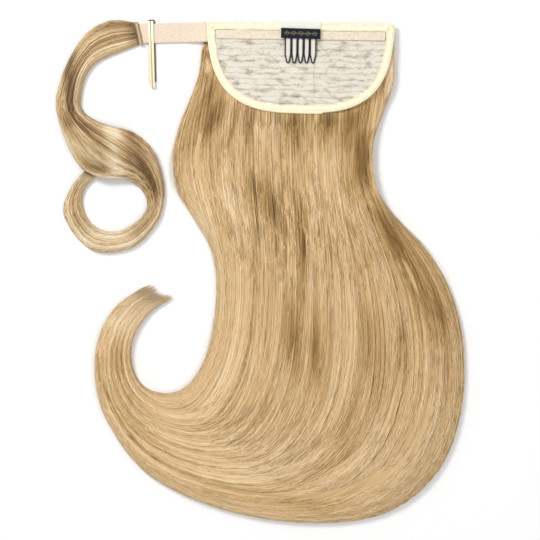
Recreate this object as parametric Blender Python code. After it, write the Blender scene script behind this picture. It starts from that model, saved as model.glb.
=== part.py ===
"""A ponytail hairpiece, lying on a table with the inside of its cap up.

X runs across the cap, Y up towards its straight edge and Z out of the table. The plan is worked out
from the middle of the cap's straight edge, and the last step moves the origin under the piece's centre.
"""

import math
from collections import namedtuple

import bmesh
import bpy
from mathutils import Matrix, Vector

MM = 0.001
GAP = 0.3 * MM  # between pieces that touch

# The cap is a D: a straight edge at the top and a round rim, raised by the hair under it
CAP_WIDTH = 156.5 * MM
CAP_DEPTH = 76.0 * MM  # from the straight edge to the rim, along the cap
CAP_TAPER = 0.06  # share of its width that the cap loses towards the rim
CAP_ROUND = 3.0  # power of the rim's curve: 2 is an ellipse, and more is squarer
CAP_EDGE_HEIGHT = 5.0 * MM  # of the cap's middle plane over the table
CAP_RIM_HEIGHT = 17.0 * MM
CAP_TURN = math.radians(-0.8)

NET_THICKNESS = 1.2 * MM
RIB_PITCH = 4.6 * MM
RIB_HEIGHT = 0.4 * MM
BINDING_WIDTH = 6.5 * MM
BINDING_WALL = 0.8 * MM
BAND_WIDTH = 7.4 * MM
BAND_THICKNESS = 0.8 * MM

# The comb under its label
RIBBON_WIDTH = 33.5 * MM
RIBBON_DEPTH = 12.6 * MM
RIBBON_THICKNESS = 0.6 * MM
LABEL_WIDTH = 32.5 * MM
LABEL_DEPTH = 8.6 * MM
LABEL_THICKNESS = 0.7 * MM
LABEL_FROM_EDGE = 4.2 * MM
LABEL_TURN = math.radians(-1.2)
COMB_TEETH = 5
COMB_PITCH = 5.08 * MM
COMB_WIRE = 0.7 * MM
COMB_LEGS_APART = 1.0 * MM  # between the two legs that meet above the tips
COMB_HEAD = 5.6 * MM  # how far the wire runs up under the label
COMB_REACH = 20.0 * MM  # from the label's edge to the tips
COMB_TAPER = 7.2 * MM  # length of a tooth's pointed end
COMB_TIP_RADIUS = 1.0 * MM

# The strap lies flat from the wrap lock and turns up to the cap's slope over its last stretch
STRAP_LENGTH = 57.0 * MM  # that shows between the wrap lock's weft and the cap
STRAP_WIDTH = 16.2 * MM
STRAP_THICKNESS = 1.2 * MM
STRAP_TAB = 6.0 * MM  # sewn under the cap's corner
STRAP_SAG = 1.2 * MM  # how much lower its far end lies in plan
STRAP_FLAT = 0.62  # share of the strap's length that lies flat
SEAM_SLANT = 4.2 * MM

WEFT_WIDTH = 3.8 * MM
WEFT_LENGTH = 18.6 * MM
WEFT_THICKNESS = 1.6 * MM
WEFT_OVERLAP = 2.4 * MM  # on the strap

PIN_LENGTH = 56.3 * MM
PIN_BACK_LENGTH = 51.7 * MM
PIN_WIDTH = 4.3 * MM
PIN_THICKNESS = 0.8 * MM
PIN_GROOVE = 0.3 * MM
PIN_SKEW = 1.2 * MM  # how far the back leg stands aside
PIN_OVERHANG = 3.2 * MM  # of its bend past the strap's edge
PIN_FROM_SEAM = 10.6 * MM
PIN_TURN = math.radians(1.35)

# The fall of hair
FALL_LENGTH = 340.0 * MM  # in plan, from the cap's rim to the lowest point of the curl
CURL_WIDTH = 306.0 * MM
FALL_THICKNESS = 25.0 * MM
FALL_EDGE = 2.4 * MM  # thickness at its thin edges
TAIL_CLEARANCE = 27.5 * MM  # in plan, between the tail's tips and the wrap lock's ring
TIP_LENGTH = 14.5 * MM
TIP_BEND = math.radians(-18)  # how much further the tips turn than the tail
HAIR_SETBACK = 5.6 * MM  # of the first roots from the cap's straight edge
FALL_LOCKS = 7
GROOVE_SHARE = 0.13  # of the hair's thickness, between two locks

# The wrap lock
LOCK_WIDTH = 90.5 * MM
LOCK_DROP = 193.0 * MM
LOCK_THICKNESS = 10.0 * MM
LOCK_EDGE = 1.6 * MM
LOCK_END_THICKNESS = 6.0 * MM  # of the end that is tucked under
LOCK_LOCKS = 4

# How finely hair is drawn
FALL_FACETS = 28
LOCK_FACETS = 16
UNDER_FACETS = 4
ROW_STEPS = 2

# Depth as a share of the cap's, sides as shares of its width
Root = namedtuple("Root", "depth left right crown")
ROOTS = [
    Root(0.47, -0.527, 0.494, 0.60),
    Root(0.68, -0.553, 0.488, 0.68),
    Root(0.86, -0.592, 0.462, 0.76),
]
# Drop from the rim as a share of the fall's length, sides as shares of the cap's width
Drape = namedtuple("Drape", "drop left right crown")
DRAPE = [
    Drape(0.035, -0.655, 0.405, 0.84),
    Drape(0.11, -0.691, 0.364, 0.92),
    Drape(0.188, -0.664, 0.396, 0.97),
    Drape(0.266, -0.564, 0.529, 1.00),
]
# Across as shares of the curl's width from the cap's middle, drops as shares of the fall's length
Curl = namedtuple("Curl", "inner inner_drop outer outer_drop crown")
CURL = [
    Curl(-0.250, 0.325, 0.332, 0.325, 1.00),
    Curl(-0.232, 0.408, 0.399, 0.418, 0.98),
    Curl(-0.235, 0.518, 0.438, 0.555, 0.95),
    Curl(-0.259, 0.599, 0.433, 0.731, 0.90),
    Curl(-0.302, 0.662, 0.368, 0.878, 0.84),
    Curl(-0.350, 0.683, 0.229, 0.976, 0.78),
    Curl(-0.388, 0.681, 0.024, 1.000, 0.72),
]
# Across as above, rises as shares of the height from the curl's lowest point to the tips
Tail = namedtuple("Tail", "inner inner_rise outer outer_rise crown")
TAIL = [
    Tail(-0.418, 0.568, -0.209, 0.056, 0.67),
    Tail(-0.442, 0.608, -0.412, 0.205, 0.62),
    Tail(-0.459, 0.667, -0.532, 0.428, 0.57),
    Tail(-0.460, 0.726, -0.562, 0.620, 0.52),
    Tail(-0.451, 0.793, -0.552, 0.785, 0.44),
    Tail(-0.421, 0.865, -0.505, 0.903, 0.34),
    Tail(-0.380, 0.924, -0.442, 0.979, 0.22),
]
# From the strap's end: across as shares of the lock's width, down as shares of its drop.
# Lift is a share of the height that clears the tucked end, crown a share of the lock's thickness.
Wrap = namedtuple("Wrap", "outer outer_down inner inner_down lift crown")
WRAP = [
    Wrap(-0.225, -0.058, -0.188, 0.082, 0.0, 0.75),
    Wrap(-0.390, -0.030, -0.326, 0.108, 0.0, 0.85),
    Wrap(-0.518, 0.022, -0.417, 0.138, 0.0, 0.92),
    Wrap(-0.647, 0.125, -0.491, 0.194, 0.0, 0.96),
    Wrap(-0.729, 0.228, -0.523, 0.267, 0.0, 1.0),
    Wrap(-0.752, 0.314, -0.518, 0.331, 0.1, 1.0),
    Wrap(-0.683, 0.434, -0.335, 0.387, 0.6, 1.0),
    Wrap(-0.537, 0.568, -0.060, 0.422, 1.0, 1.0),
    Wrap(-0.335, 0.622, 0.106, 0.482, 1.0, 0.95),
    Wrap(-0.133, 0.624, 0.188, 0.555, 0.5, 0.9),
    Wrap(0.014, 0.658, 0.239, 0.654, 0.1, 0.85),
    Wrap(0.096, 0.735, 0.229, 0.735, 0.0, 0.8),
    Wrap(0.014, 0.800, 0.170, 0.813, 0.0, 0.8),
    Wrap(-0.170, 0.852, -0.032, 0.916, 0.0, 0.8),
    Wrap(-0.353, 0.843, -0.335, 0.942, 0.0, 0.8),
    Wrap(-0.454, 0.802, -0.528, 0.895, 0.0, 0.78),
    Wrap(-0.509, 0.744, -0.665, 0.800, 0.0, 0.75),
    Wrap(-0.514, 0.701, -0.679, 0.735, 0.0, 0.70),
    Wrap(-0.482, 0.658, -0.619, 0.667, 0.0, 0.62),
]
# The tucked end, its thickness a share of LOCK_END_THICKNESS
TUCK = [
    Wrap(-0.408, 0.624, -0.546, 0.619, 0.0, 1.0),
    Wrap(-0.317, 0.594, -0.445, 0.572, 0.0, 0.8),
]

Section = namedtuple("Section", "ax ay bx by floor crown")

CAP_SLOPE = math.asin((CAP_RIM_HEIGHT - CAP_EDGE_HEIGHT) / CAP_DEPTH)
CAP_PLAN_DEPTH = CAP_DEPTH * math.cos(CAP_SLOPE)
BINDING_HALF = NET_THICKNESS / 2 + GAP + BINDING_WALL
PIN_FRONT_BOTTOM = GAP + PIN_THICKNESS + GAP + STRAP_THICKNESS + GAP


# Placing things on the cap


def turned(x, y):
    return Matrix.Rotation(CAP_TURN, 2) @ Vector((x, y))


def on_cap(x, depth, height):
    """The place x across the cap, depth down its slope and height off its middle plane."""
    down = depth * math.cos(CAP_SLOPE) - height * math.sin(CAP_SLOPE)
    flat = turned(x, -down)
    up = CAP_EDGE_HEIGHT + depth * math.sin(CAP_SLOPE) + height * math.cos(CAP_SLOPE)
    return Vector((flat.x, flat.y, up))


def cap_half_width(share, inset=0.0):
    """Half the cap's width at a share of its depth."""
    taper = 1 - CAP_TAPER * share
    return (CAP_WIDTH / 2 - inset) * taper * (1 - share**CAP_ROUND) ** (1 / CAP_ROUND)


def depth_in_plan(x, y):
    """How far below the cap's straight edge a place lies, in plan."""
    return -(Matrix.Rotation(-CAP_TURN, 2) @ Vector((x, y))).y


def hair_ceiling(x, y):
    """The most that hair may rise: to the binding's underside, and freely past the rim."""
    depth = depth_in_plan(x, y)
    edge = CAP_PLAN_DEPTH + BINDING_WIDTH / 2
    under = (BINDING_HALF + GAP) / math.cos(CAP_SLOPE)
    height = CAP_EDGE_HEIGHT + min(depth, edge) * math.tan(CAP_SLOPE) - under
    return height + max(depth - edge, 0)


# Meshes


def new_object(name, mesh, colour, roughness, metallic=0.0):
    material = bpy.data.materials.new(name)
    material.use_nodes = True
    shader = material.node_tree.nodes["Principled BSDF"]
    shader.inputs["Base Color"].default_value = (*colour, 1)
    shader.inputs["Roughness"].default_value = roughness
    shader.inputs["Metallic"].default_value = metallic
    mesh.materials.append(material)
    piece = bpy.data.objects.new(name, mesh)
    bpy.context.collection.objects.link(piece)
    return piece


def finished(bm, name):
    bm.normal_update()
    bmesh.ops.recalc_face_normals(bm, faces=bm.faces[:])
    mesh = bpy.data.meshes.new(name)
    bm.to_mesh(mesh)
    bm.free()
    mesh.shade_smooth()
    mesh.set_sharp_from_angle(angle=math.radians(40))
    return mesh


def loft(name, rings, closed=False):
    """A skin through rings of as many points each, with its ends filled unless the rings close on themselves."""
    bm = bmesh.new()
    loops = [[bm.verts.new(point) for point in ring] for ring in rings]
    follows = loops[1:] + loops[:1] if closed else loops[1:]
    for loop, following in zip(loops, follows):
        count = len(loop)
        for i in range(count):
            j = (i + 1) % count
            bm.faces.new((loop[i], loop[j], following[j], following[i]))
    if not closed:
        bm.faces.new(loops[0])
        bm.faces.new(loops[-1])
    bmesh.ops.triangulate(bm, faces=bm.faces[:])
    return finished(bm, name)


def smoothed(rows, steps):
    """The rows with others between them, on a smooth curve through all."""
    fine = []
    for i in range(len(rows) - 1):
        before, here, there, after = (rows[min(max(i + k, 0), len(rows) - 1)] for k in (-1, 0, 1, 2))
        for step in range(steps):
            t = step / steps
            fine.append(
                Section(
                    *(
                        q + t / 2 * (r - p + t * (2 * p - 5 * q + 4 * r - s + t * (3 * (q - r) + s - p)))
                        for p, q, r, s in zip(before, here, there, after)
                    )
                )
            )
    fine.append(rows[-1])
    return fine


def hair_ring(section, edge, locks, points, drift=0.0, ceiling=None):
    """A section of hair: a crowned top of locks from its a side to its b side, and a flat underside."""
    a = Vector((section.ax, section.ay))
    b = Vector((section.bx, section.by))
    floor = max(section.floor, 0)
    ring = []
    for i in range(points + 1):
        u = i / points
        flat = a.lerp(b, u)
        crown = math.sqrt(1 - abs(2 * u - 1) ** 2.6)
        groove = 1 - GROOVE_SHARE * abs(math.cos(math.pi * (locks * u + drift))) ** 5
        height = floor + edge + (section.crown - edge) * crown * groove
        if ceiling:
            height = min(height, ceiling(*flat))
        ring.append(Vector((*flat, height)))
    for i in range(UNDER_FACETS + 1):
        u = 1 - i / UNDER_FACETS
        flat = a.lerp(b, u)
        lift = edge * 0.3 if i in (0, UNDER_FACETS) else 0.0
        ring.append(Vector((*flat, floor + lift)))
    return ring


# The cap


def cap_outline():
    """Round the cap's edge: places (x, depth) and the way inwards at each, long enough for the corners."""
    along = 12
    around = 40
    places = [Vector((CAP_WIDTH * (i / along - 0.5), 0)) for i in range(along)]
    for i in range(around):
        angle = math.pi * i / around
        share = math.sin(angle) ** (2 / CAP_ROUND)
        side = 1 if angle < math.pi / 2 else -1
        places.append(Vector((side * cap_half_width(share), CAP_DEPTH * share)))
    inwards = []
    for i, place in enumerate(places):
        before = (place - places[i - 1]).normalized()
        after = (places[(i + 1) % len(places)] - place).normalized()
        first, second = Vector((-before.y, before.x)), Vector((-after.y, after.x))
        inwards.append((first + second) / (1 + first.dot(second)))
    return places, inwards


def edge_binding():
    places, inwards = cap_outline()
    slot = NET_THICKNESS / 2 + GAP
    profile = [
        (0, BINDING_HALF),
        (BINDING_WIDTH, BINDING_HALF),
        (BINDING_WIDTH, slot),
        (BINDING_WALL, slot),
        (BINDING_WALL, -slot),
        (BINDING_WIDTH, -slot),
        (BINDING_WIDTH, -BINDING_HALF),
        (0, -BINDING_HALF),
    ]
    rings = []
    for place, inwards_here in zip(places, inwards):
        ring = []
        for distance, height in profile:
            spot = place + inwards_here * distance
            ring.append(on_cap(spot.x, spot.y, height))
        rings.append(ring)
    return new_object("edge_binding", loft("edge_binding", rings, closed=True), (0.93, 0.87, 0.72), 0.8)


def cap_foundation():
    inset = BINDING_WALL + GAP
    length = CAP_DEPTH - 2 * inset
    band_end = BINDING_WIDTH + GAP + BAND_WIDTH
    ribs = int((CAP_DEPTH - band_end - BINDING_WIDTH) / RIB_PITCH)
    depths = [inset, band_end]
    for i in range(1, 2 * ribs + 1):
        depths.append(band_end + i * RIB_PITCH / 2)
    depths += [depths[-1] + (inset + length * share - depths[-1]) * k for share, k in ((0.97, 0.5), (0.985, 1))]
    across = 14
    bm = bmesh.new()
    bmesh.ops.create_grid(bm, x_segments=across, y_segments=len(depths) - 1, size=1)
    for vert in bm.verts:
        row = round((1 - vert.co.y) / 2 * (len(depths) - 1))
        depth = depths[row]
        share = min((depth - inset) / length, 1)
        half = cap_half_width(share, inset)
        inner = cap_half_width(min((depth + BINDING_WIDTH) / CAP_DEPTH, 1)) - BINDING_WIDTH
        crest = 1 < row < 2 * ribs + 1 and row % 2 == 0 and (abs(vert.co.x) + 2 / across) * half < inner
        vert.co = (vert.co.x * half, depth, NET_THICKNESS / 2 + (RIB_HEIGHT if crest else 0))
    under = bmesh.ops.extrude_face_region(bm, geom=bm.faces[:])["geom"]
    for item in under:
        if isinstance(item, bmesh.types.BMVert):
            item.co.z = -NET_THICKNESS / 2
    for vert in bm.verts:
        vert.co = on_cap(*vert.co)
    bmesh.ops.triangulate(bm, faces=bm.faces[:])
    return new_object("cap_foundation", finished(bm, "cap_foundation"), (0.86, 0.82, 0.72), 0.9)


def cap_strip(name, middle, width, start, depth, bottom, thickness, colour, turn=0.0, roughness=0.7):
    """A flat strip on the cap: its middle across, its start from the straight edge, and its underside."""
    bm = bmesh.new()
    bmesh.ops.create_cube(bm, size=1)
    bmesh.ops.scale(bm, vec=(width, depth, thickness), verts=bm.verts[:])
    bmesh.ops.bevel(
        bm, geom=bm.edges[:], offset=thickness * 0.3, segments=1, profile=0.5, affect="EDGES", clamp_overlap=True
    )
    bmesh.ops.rotate(bm, matrix=Matrix.Rotation(-turn, 3, "Z"), verts=bm.verts[:])
    for vert in bm.verts:
        x, along, height = vert.co
        vert.co = on_cap(middle + x, start + depth / 2 + along, bottom + thickness / 2 + height)
    return new_object(name, finished(bm, name), colour, roughness)


def top_band():
    start = BINDING_WIDTH + GAP
    share = (start + BAND_WIDTH) / CAP_DEPTH
    width = 2 * (cap_half_width(share) - BINDING_WIDTH - 2 * GAP)
    return cap_strip(
        "top_band", 0, width, start, BAND_WIDTH, NET_THICKNESS / 2 + GAP, BAND_THICKNESS, (0.9, 0.8, 0.7)
    )


# The comb, from the cap up: ribbon, wire and label


def comb_levels():
    ribbon = max(BINDING_HALF, NET_THICKNESS / 2 + GAP + BAND_THICKNESS) + GAP
    wire = ribbon + RIBBON_THICKNESS + GAP
    return ribbon, wire, wire + COMB_WIRE + GAP


def comb_ribbon():
    level = comb_levels()[0]
    return cap_strip(
        "comb_ribbon", 0, RIBBON_WIDTH, 0, RIBBON_DEPTH, level, RIBBON_THICKNESS, (0.78, 0.78, 0.77)
    )


def comb_label():
    level = comb_levels()[2]
    return cap_strip(
        "comb_label", 0, LABEL_WIDTH, LABEL_FROM_EDGE, LABEL_DEPTH, level, LABEL_THICKNESS, (0.02, 0.022, 0.04),
        LABEL_TURN,
    )


def wire_comb():
    """One bent wire: down and up each tooth, and over to the next under the label."""
    left = -COMB_TEETH * COMB_PITCH / 2
    label_end = LABEL_FROM_EDGE + LABEL_DEPTH
    head = label_end - COMB_HEAD
    tip = label_end + COMB_REACH
    taper = tip - COMB_TAPER
    half_pair = COMB_LEGS_APART / 2
    route = []
    for tooth in range(COMB_TEETH):
        start = left + tooth * COMB_PITCH + (half_pair if tooth else 0)
        end = left + (tooth + 1) * COMB_PITCH - (half_pair if tooth < COMB_TEETH - 1 else 0)
        middle = (start + end) / 2
        bend = tip - COMB_TIP_RADIUS
        route += [(start, head), (start, label_end), (start, taper)]
        for i in range(5):
            angle = math.pi * i / 4
            across = COMB_TIP_RADIUS * math.cos(angle)
            route.append((middle - across, bend + COMB_TIP_RADIUS * math.sin(angle)))
        route += [(end, taper), (end, label_end), (end, head)]
    level = comb_levels()[1] + COMB_WIRE / 2
    low = NET_THICKNESS / 2 + RIB_HEIGHT + GAP + COMB_WIRE / 2
    points = []
    for across, depth in route:
        share = max(depth - label_end, 0) / COMB_REACH
        points.append(on_cap(across, depth, level + (low - level) * share))
    return new_object("wire_comb", wire(points, COMB_WIRE / 2), (0.03, 0.03, 0.035), 0.35)


def wire(points, radius, sides=6):
    """A round wire through points that lie near one plane, mitred at its bends."""
    up = on_cap(0, 0, 1) - on_cap(0, 0, 0)
    rings = []
    for i, point in enumerate(points):
        before = (point - points[max(i - 1, 0)]).normalized()
        after = (points[min(i + 1, len(points) - 1)] - point).normalized()
        along = (before + after).normalized()
        side = along.cross(up).normalized()
        stretch = 1 / max(along.dot(after if after.length else before), 0.5)
        ring = []
        for k in range(sides):
            angle = 2 * math.pi * k / sides
            ring.append(point + side * (radius * math.cos(angle) * stretch) + up * (radius * math.sin(angle)))
        rings.append(ring)
    return loft("wire_comb", rings)


# The strap, its weft and its pin


def strap_frame():
    """The strap's root at the cap's corner and its far end, as middles in plan."""
    corner = turned(-CAP_WIDTH / 2, 0)
    root = corner + Vector((0, -STRAP_WIDTH / 2 - GAP))
    far = root + Vector((-STRAP_LENGTH, -STRAP_SAG))
    return root, far


def hook_strap():
    root, far = strap_frame()
    level = GAP + PIN_THICKNESS + GAP
    tab_height = -BINDING_HALF - GAP - STRAP_THICKNESS
    rings = []
    steps = 8
    for i in range(steps + 1):
        t = i / steps
        middle = far.lerp(root, t)
        rise = max(t - STRAP_FLAT, 0) / (1 - STRAP_FLAT)
        rise = rise * rise * (3 - 2 * rise)
        slant = (1 - t) * SEAM_SLANT * STRAP_WIDTH / WEFT_LENGTH
        corners = []
        for side in (1, -1):
            y = middle.y + side * STRAP_WIDTH / 2
            on_slope = on_cap(-CAP_WIDTH / 2, -y, tab_height).z
            corners.append(Vector((middle.x - side * slant / 2, y, level + (on_slope - level) * rise)))
        rings.append(strap_ring(corners))
    tab = [Vector((corner.x + STRAP_TAB, corner.y, corner.z)) for corner in corners]
    rings.append(strap_ring(tab))
    return new_object("hook_strap", loft("hook_strap", rings), (0.88, 0.78, 0.68), 0.85)


def strap_ring(corners):
    upper, lower = corners
    top = Vector((0, 0, STRAP_THICKNESS))
    return [upper, lower, lower + top, upper + top]


def wrap_weft():
    far = strap_frame()[1]
    level = GAP + PIN_THICKNESS + GAP + STRAP_THICKNESS + GAP
    bm = bmesh.new()
    bmesh.ops.create_cube(bm, size=1)
    bmesh.ops.scale(bm, vec=(WEFT_WIDTH, WEFT_LENGTH, WEFT_THICKNESS), verts=bm.verts[:])
    bmesh.ops.bevel(
        bm, geom=bm.edges[:], offset=WEFT_THICKNESS * 0.25, segments=2, profile=0.5, affect="EDGES"
    )
    middle = far.x + WEFT_OVERLAP - WEFT_WIDTH / 2
    for vert in bm.verts:
        vert.co.x += middle - vert.co.y * SEAM_SLANT / WEFT_LENGTH
        vert.co.y += far.y
        vert.co.z += level + WEFT_THICKNESS / 2
    return new_object("wrap_weft", finished(bm, "wrap_weft"), (0.75, 0.66, 0.5), 0.85)


def hairpin():
    """A flat pin bent over the strap's edge, its front leg grooved."""
    apart = STRAP_THICKNESS + 2 * GAP + PIN_THICKNESS  # between the legs' middles
    radius = apart / 2
    bend_y = -radius - PIN_THICKNESS / 2
    path = [(-PIN_BACK_LENGTH, -radius, -1.0)]
    path.append((bend_y, -radius, -1.0))
    for i in range(1, 6):
        angle = math.pi * i / 6
        path.append((bend_y + radius * math.sin(angle), -radius * math.cos(angle), -math.cos(angle)))
    path.append((bend_y, radius, 1.0))
    path.append((-PIN_LENGTH, radius, 1.0))
    half, thin = PIN_WIDTH / 2, PIN_THICKNESS / 2
    profile = [
        (-half, thin), (-half / 4, thin), (0, thin - PIN_GROOVE), (half / 4, thin), (half, thin), (half, -thin),
        (-half, -thin),
    ]
    rings = []
    for y, z, front in path:
        normal = Vector((0, math.sqrt(max(1 - front * front, 0)), front))
        skew = PIN_SKEW * (1 - front) / 2
        middle = Vector((skew, y, z))
        rings.append([middle + Vector((x, 0, 0)) + normal * out for x, out in profile])
    pin = new_object("hairpin", loft("hairpin", rings), (0.83, 0.72, 0.52), 0.3, 1.0)
    root, far = strap_frame()
    along = (root - far).normalized()
    foot = far + along * PIN_FROM_SEAM
    pin.location = (
        foot.x,
        foot.y + STRAP_WIDTH / 2 + PIN_OVERHANG,
        PIN_FRONT_BOTTOM + PIN_THICKNESS / 2 - radius,
    )
    pin.rotation_euler.z = PIN_TURN
    return pin


# Hair


def wrap_lock_sections():
    far = strap_frame()[1]
    lift = LOCK_END_THICKNESS + 2 * GAP
    seam = far.x + WEFT_OVERLAP - WEFT_WIDTH - GAP
    half = WEFT_LENGTH / 2
    first = Section(
        seam - SEAM_SLANT / 2, far.y + half, seam + SEAM_SLANT / 2, far.y - half, 0.0, LOCK_THICKNESS * 0.6
    )
    rows = [first]
    for rows_here, thickness in ((WRAP, LOCK_THICKNESS), (TUCK, LOCK_END_THICKNESS)):
        for row in rows_here:
            rows.append(
                Section(
                    far.x + row.outer * LOCK_WIDTH,
                    far.y - row.outer_down * LOCK_DROP,
                    far.x + row.inner * LOCK_WIDTH,
                    far.y - row.inner_down * LOCK_DROP,
                    row.lift * lift,
                    row.crown * thickness,
                )
            )
    return rows


def wrap_lock():
    sections = smoothed(wrap_lock_sections(), ROW_STEPS)
    rings = []
    for i, section in enumerate(sections):
        drift = 0.3 * math.sin(2 * math.pi * i / len(sections))
        rings.append(hair_ring(section, LOCK_EDGE, LOCK_LOCKS, LOCK_FACETS, drift))
    return new_object("wrap_lock", loft("wrap_lock", rings), (0.45, 0.30, 0.13), 0.5)


def fall_sections():
    far = strap_frame()[1]
    rim = -CAP_PLAN_DEPTH
    bottom = rim - FALL_LENGTH
    ring_low = far.y - max(row.inner_down for row in WRAP) * LOCK_DROP
    rise = ring_low - TAIL_CLEARANCE - bottom

    # The first roots start beside the strap's tab, and widen below it
    inside = -CAP_WIDTH / 2 + STRAP_TAB + 3 * GAP
    below = STRAP_WIDTH + 5 * GAP
    first = ROOTS[0]
    right = first.right * CAP_WIDTH
    crown = first.crown * FALL_THICKNESS
    rows = [
        Section(inside, -HAIR_SETBACK, right * 0.95, -HAIR_SETBACK, 0.0, crown),
        Section(inside, -below, right * 0.98, -below, 0.0, crown),
        Section(
            first.left * CAP_WIDTH, -below - 6 * GAP, right * 0.985, -below - 6 * GAP, 0.0, crown
        ),
    ]
    for row in ROOTS:
        y = -row.depth * CAP_PLAN_DEPTH
        rows.append(Section(row.left * CAP_WIDTH, y, row.right * CAP_WIDTH, y, 0.0, row.crown * FALL_THICKNESS))
    for row in DRAPE:
        y = rim - row.drop * FALL_LENGTH
        rows.append(Section(row.left * CAP_WIDTH, y, row.right * CAP_WIDTH, y, 0.0, row.crown * FALL_THICKNESS))
    for row in CURL:
        rows.append(
            Section(
                row.inner * CURL_WIDTH,
                rim - row.inner_drop * FALL_LENGTH,
                row.outer * CURL_WIDTH,
                rim - row.outer_drop * FALL_LENGTH,
                0.0,
                row.crown * FALL_THICKNESS,
            )
        )
    for row in TAIL:
        rows.append(
            Section(
                row.inner * CURL_WIDTH,
                bottom + row.inner_rise * rise,
                row.outer * CURL_WIDTH,
                bottom + row.outer_rise * rise,
                0.0,
                row.crown * FALL_THICKNESS,
            )
        )
    return rows[:3] + smoothed(rows[3:], ROW_STEPS)


def hair_fall():
    sections = fall_sections()
    rings = []
    for i, section in enumerate(sections):
        drift = 0.4 * math.sin(3 * math.pi * i / len(sections))
        rings.append(hair_ring(section, FALL_EDGE, FALL_LOCKS, FALL_FACETS, drift, hair_ceiling))
    rings += tufts(rings[-2], rings[-1])
    return new_object("hair_fall", loft("hair_fall", rings), (0.62, 0.47, 0.27), 0.5)


def tufts(before, last):
    """Rings past the last one, drawn out into a pointed tuft at each side."""
    way = sum((b - a for a, b in zip(before, last)), Vector())
    way = Matrix.Rotation(TIP_BEND, 3, "Z") @ Vector((way.x, way.y, 0)).normalized()
    low = min(last, key=lambda point: point.z).z
    a, b = last[0], last[FALL_FACETS]
    rings = []
    for share in (0.4, 0.75, 1.0):
        ring = []
        for point in last:
            u = (point - a).dot(b - a) / (b - a).length_squared
            reach = 0.35 + 0.65 * abs(math.cos(math.pi * u)) ** 1.2
            thin = 1 - 0.7 * share
            moved = point + way * (TIP_LENGTH * share * reach)
            moved.z = low + (point.z - low) * thin
            ring.append(moved)
        rings.append(ring)
    return rings


def centre_on_table(pieces):
    """Moves the pieces so that the origin lies on the table, under the middle of the whole."""
    bpy.context.view_layer.update()
    corners = [piece.matrix_world @ Vector(corner) for piece in pieces for corner in piece.bound_box]
    middle = Vector([(min(values) + max(values)) / 2 for values in zip(*corners)])
    lowest = min(corner.z for corner in corners)
    for piece in pieces:
        piece.location -= Vector((middle.x, middle.y, lowest))


def main():
    for old in list(bpy.data.objects):
        bpy.data.objects.remove(old, do_unlink=True)
    centre_on_table(
        [
            cap_foundation(),
            edge_binding(),
            top_band(),
            comb_ribbon(),
            wire_comb(),
            comb_label(),
            hook_strap(),
            wrap_weft(),
            hairpin(),
            wrap_lock(),
            hair_fall(),
        ]
    )


main()
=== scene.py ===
import math

import bmesh
import bpy
import numpy as np
from mathutils import Matrix, Vector, noise


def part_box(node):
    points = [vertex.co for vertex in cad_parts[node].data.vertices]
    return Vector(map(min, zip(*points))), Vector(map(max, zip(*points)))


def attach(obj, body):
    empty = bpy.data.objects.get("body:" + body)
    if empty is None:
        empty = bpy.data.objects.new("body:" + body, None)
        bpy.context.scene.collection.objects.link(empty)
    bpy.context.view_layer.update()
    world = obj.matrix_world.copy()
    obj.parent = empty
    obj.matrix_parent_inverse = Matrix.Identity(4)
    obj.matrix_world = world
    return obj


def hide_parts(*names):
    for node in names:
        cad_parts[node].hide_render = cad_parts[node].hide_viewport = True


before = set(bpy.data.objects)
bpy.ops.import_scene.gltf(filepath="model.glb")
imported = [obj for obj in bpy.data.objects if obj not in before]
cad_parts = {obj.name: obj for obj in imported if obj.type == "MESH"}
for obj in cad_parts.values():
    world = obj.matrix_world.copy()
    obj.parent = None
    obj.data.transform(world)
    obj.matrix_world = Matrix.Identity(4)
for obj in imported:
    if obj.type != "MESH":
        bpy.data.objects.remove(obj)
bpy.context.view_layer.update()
mm = 0.001

print("frame loaded")


# Shader maths: sums of values add their own Math nodes


def joining(operation, swapped=False):
    def join(self, other):
        return self.sum(operation, *((other, self) if swapped else (self, other)))
    return join


class Value:
    def __init__(self, paint, socket):
        self.paint = paint
        self.socket = socket

    def sum(self, operation, first, second=0.0):
        return self.paint.node("ShaderNodeMath", {"operation": operation}, {0: first, 1: second})

    __add__ = __radd__ = joining("ADD")
    __sub__ = joining("SUBTRACT")
    __rsub__ = joining("SUBTRACT", swapped=True)
    __mul__ = __rmul__ = joining("MULTIPLY")
    __truediv__ = joining("DIVIDE")
    __pow__ = joining("POWER")

    def sine(self):
        return self.sum("SINE", self)

    def fold(self):
        return self.sum("ABSOLUTE", self)

    def clear(self, low, high):
        # 0 below the low value and 1 above the high one
        inputs = {0: self, 1: low, 2: high}
        return self.paint.node("ShaderNodeMapRange", {"interpolation_type": "SMOOTHSTEP"}, inputs)


def linear(red, green, blue):
    # a colour as the photo shows it, in the numbers that a shader takes
    shares = (red / 255, green / 255, blue / 255)
    return tuple(((c + 0.055) / 1.055) ** 2.4 if c > 0.04 else c / 12.92 for c in shares) + (1,)


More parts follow.
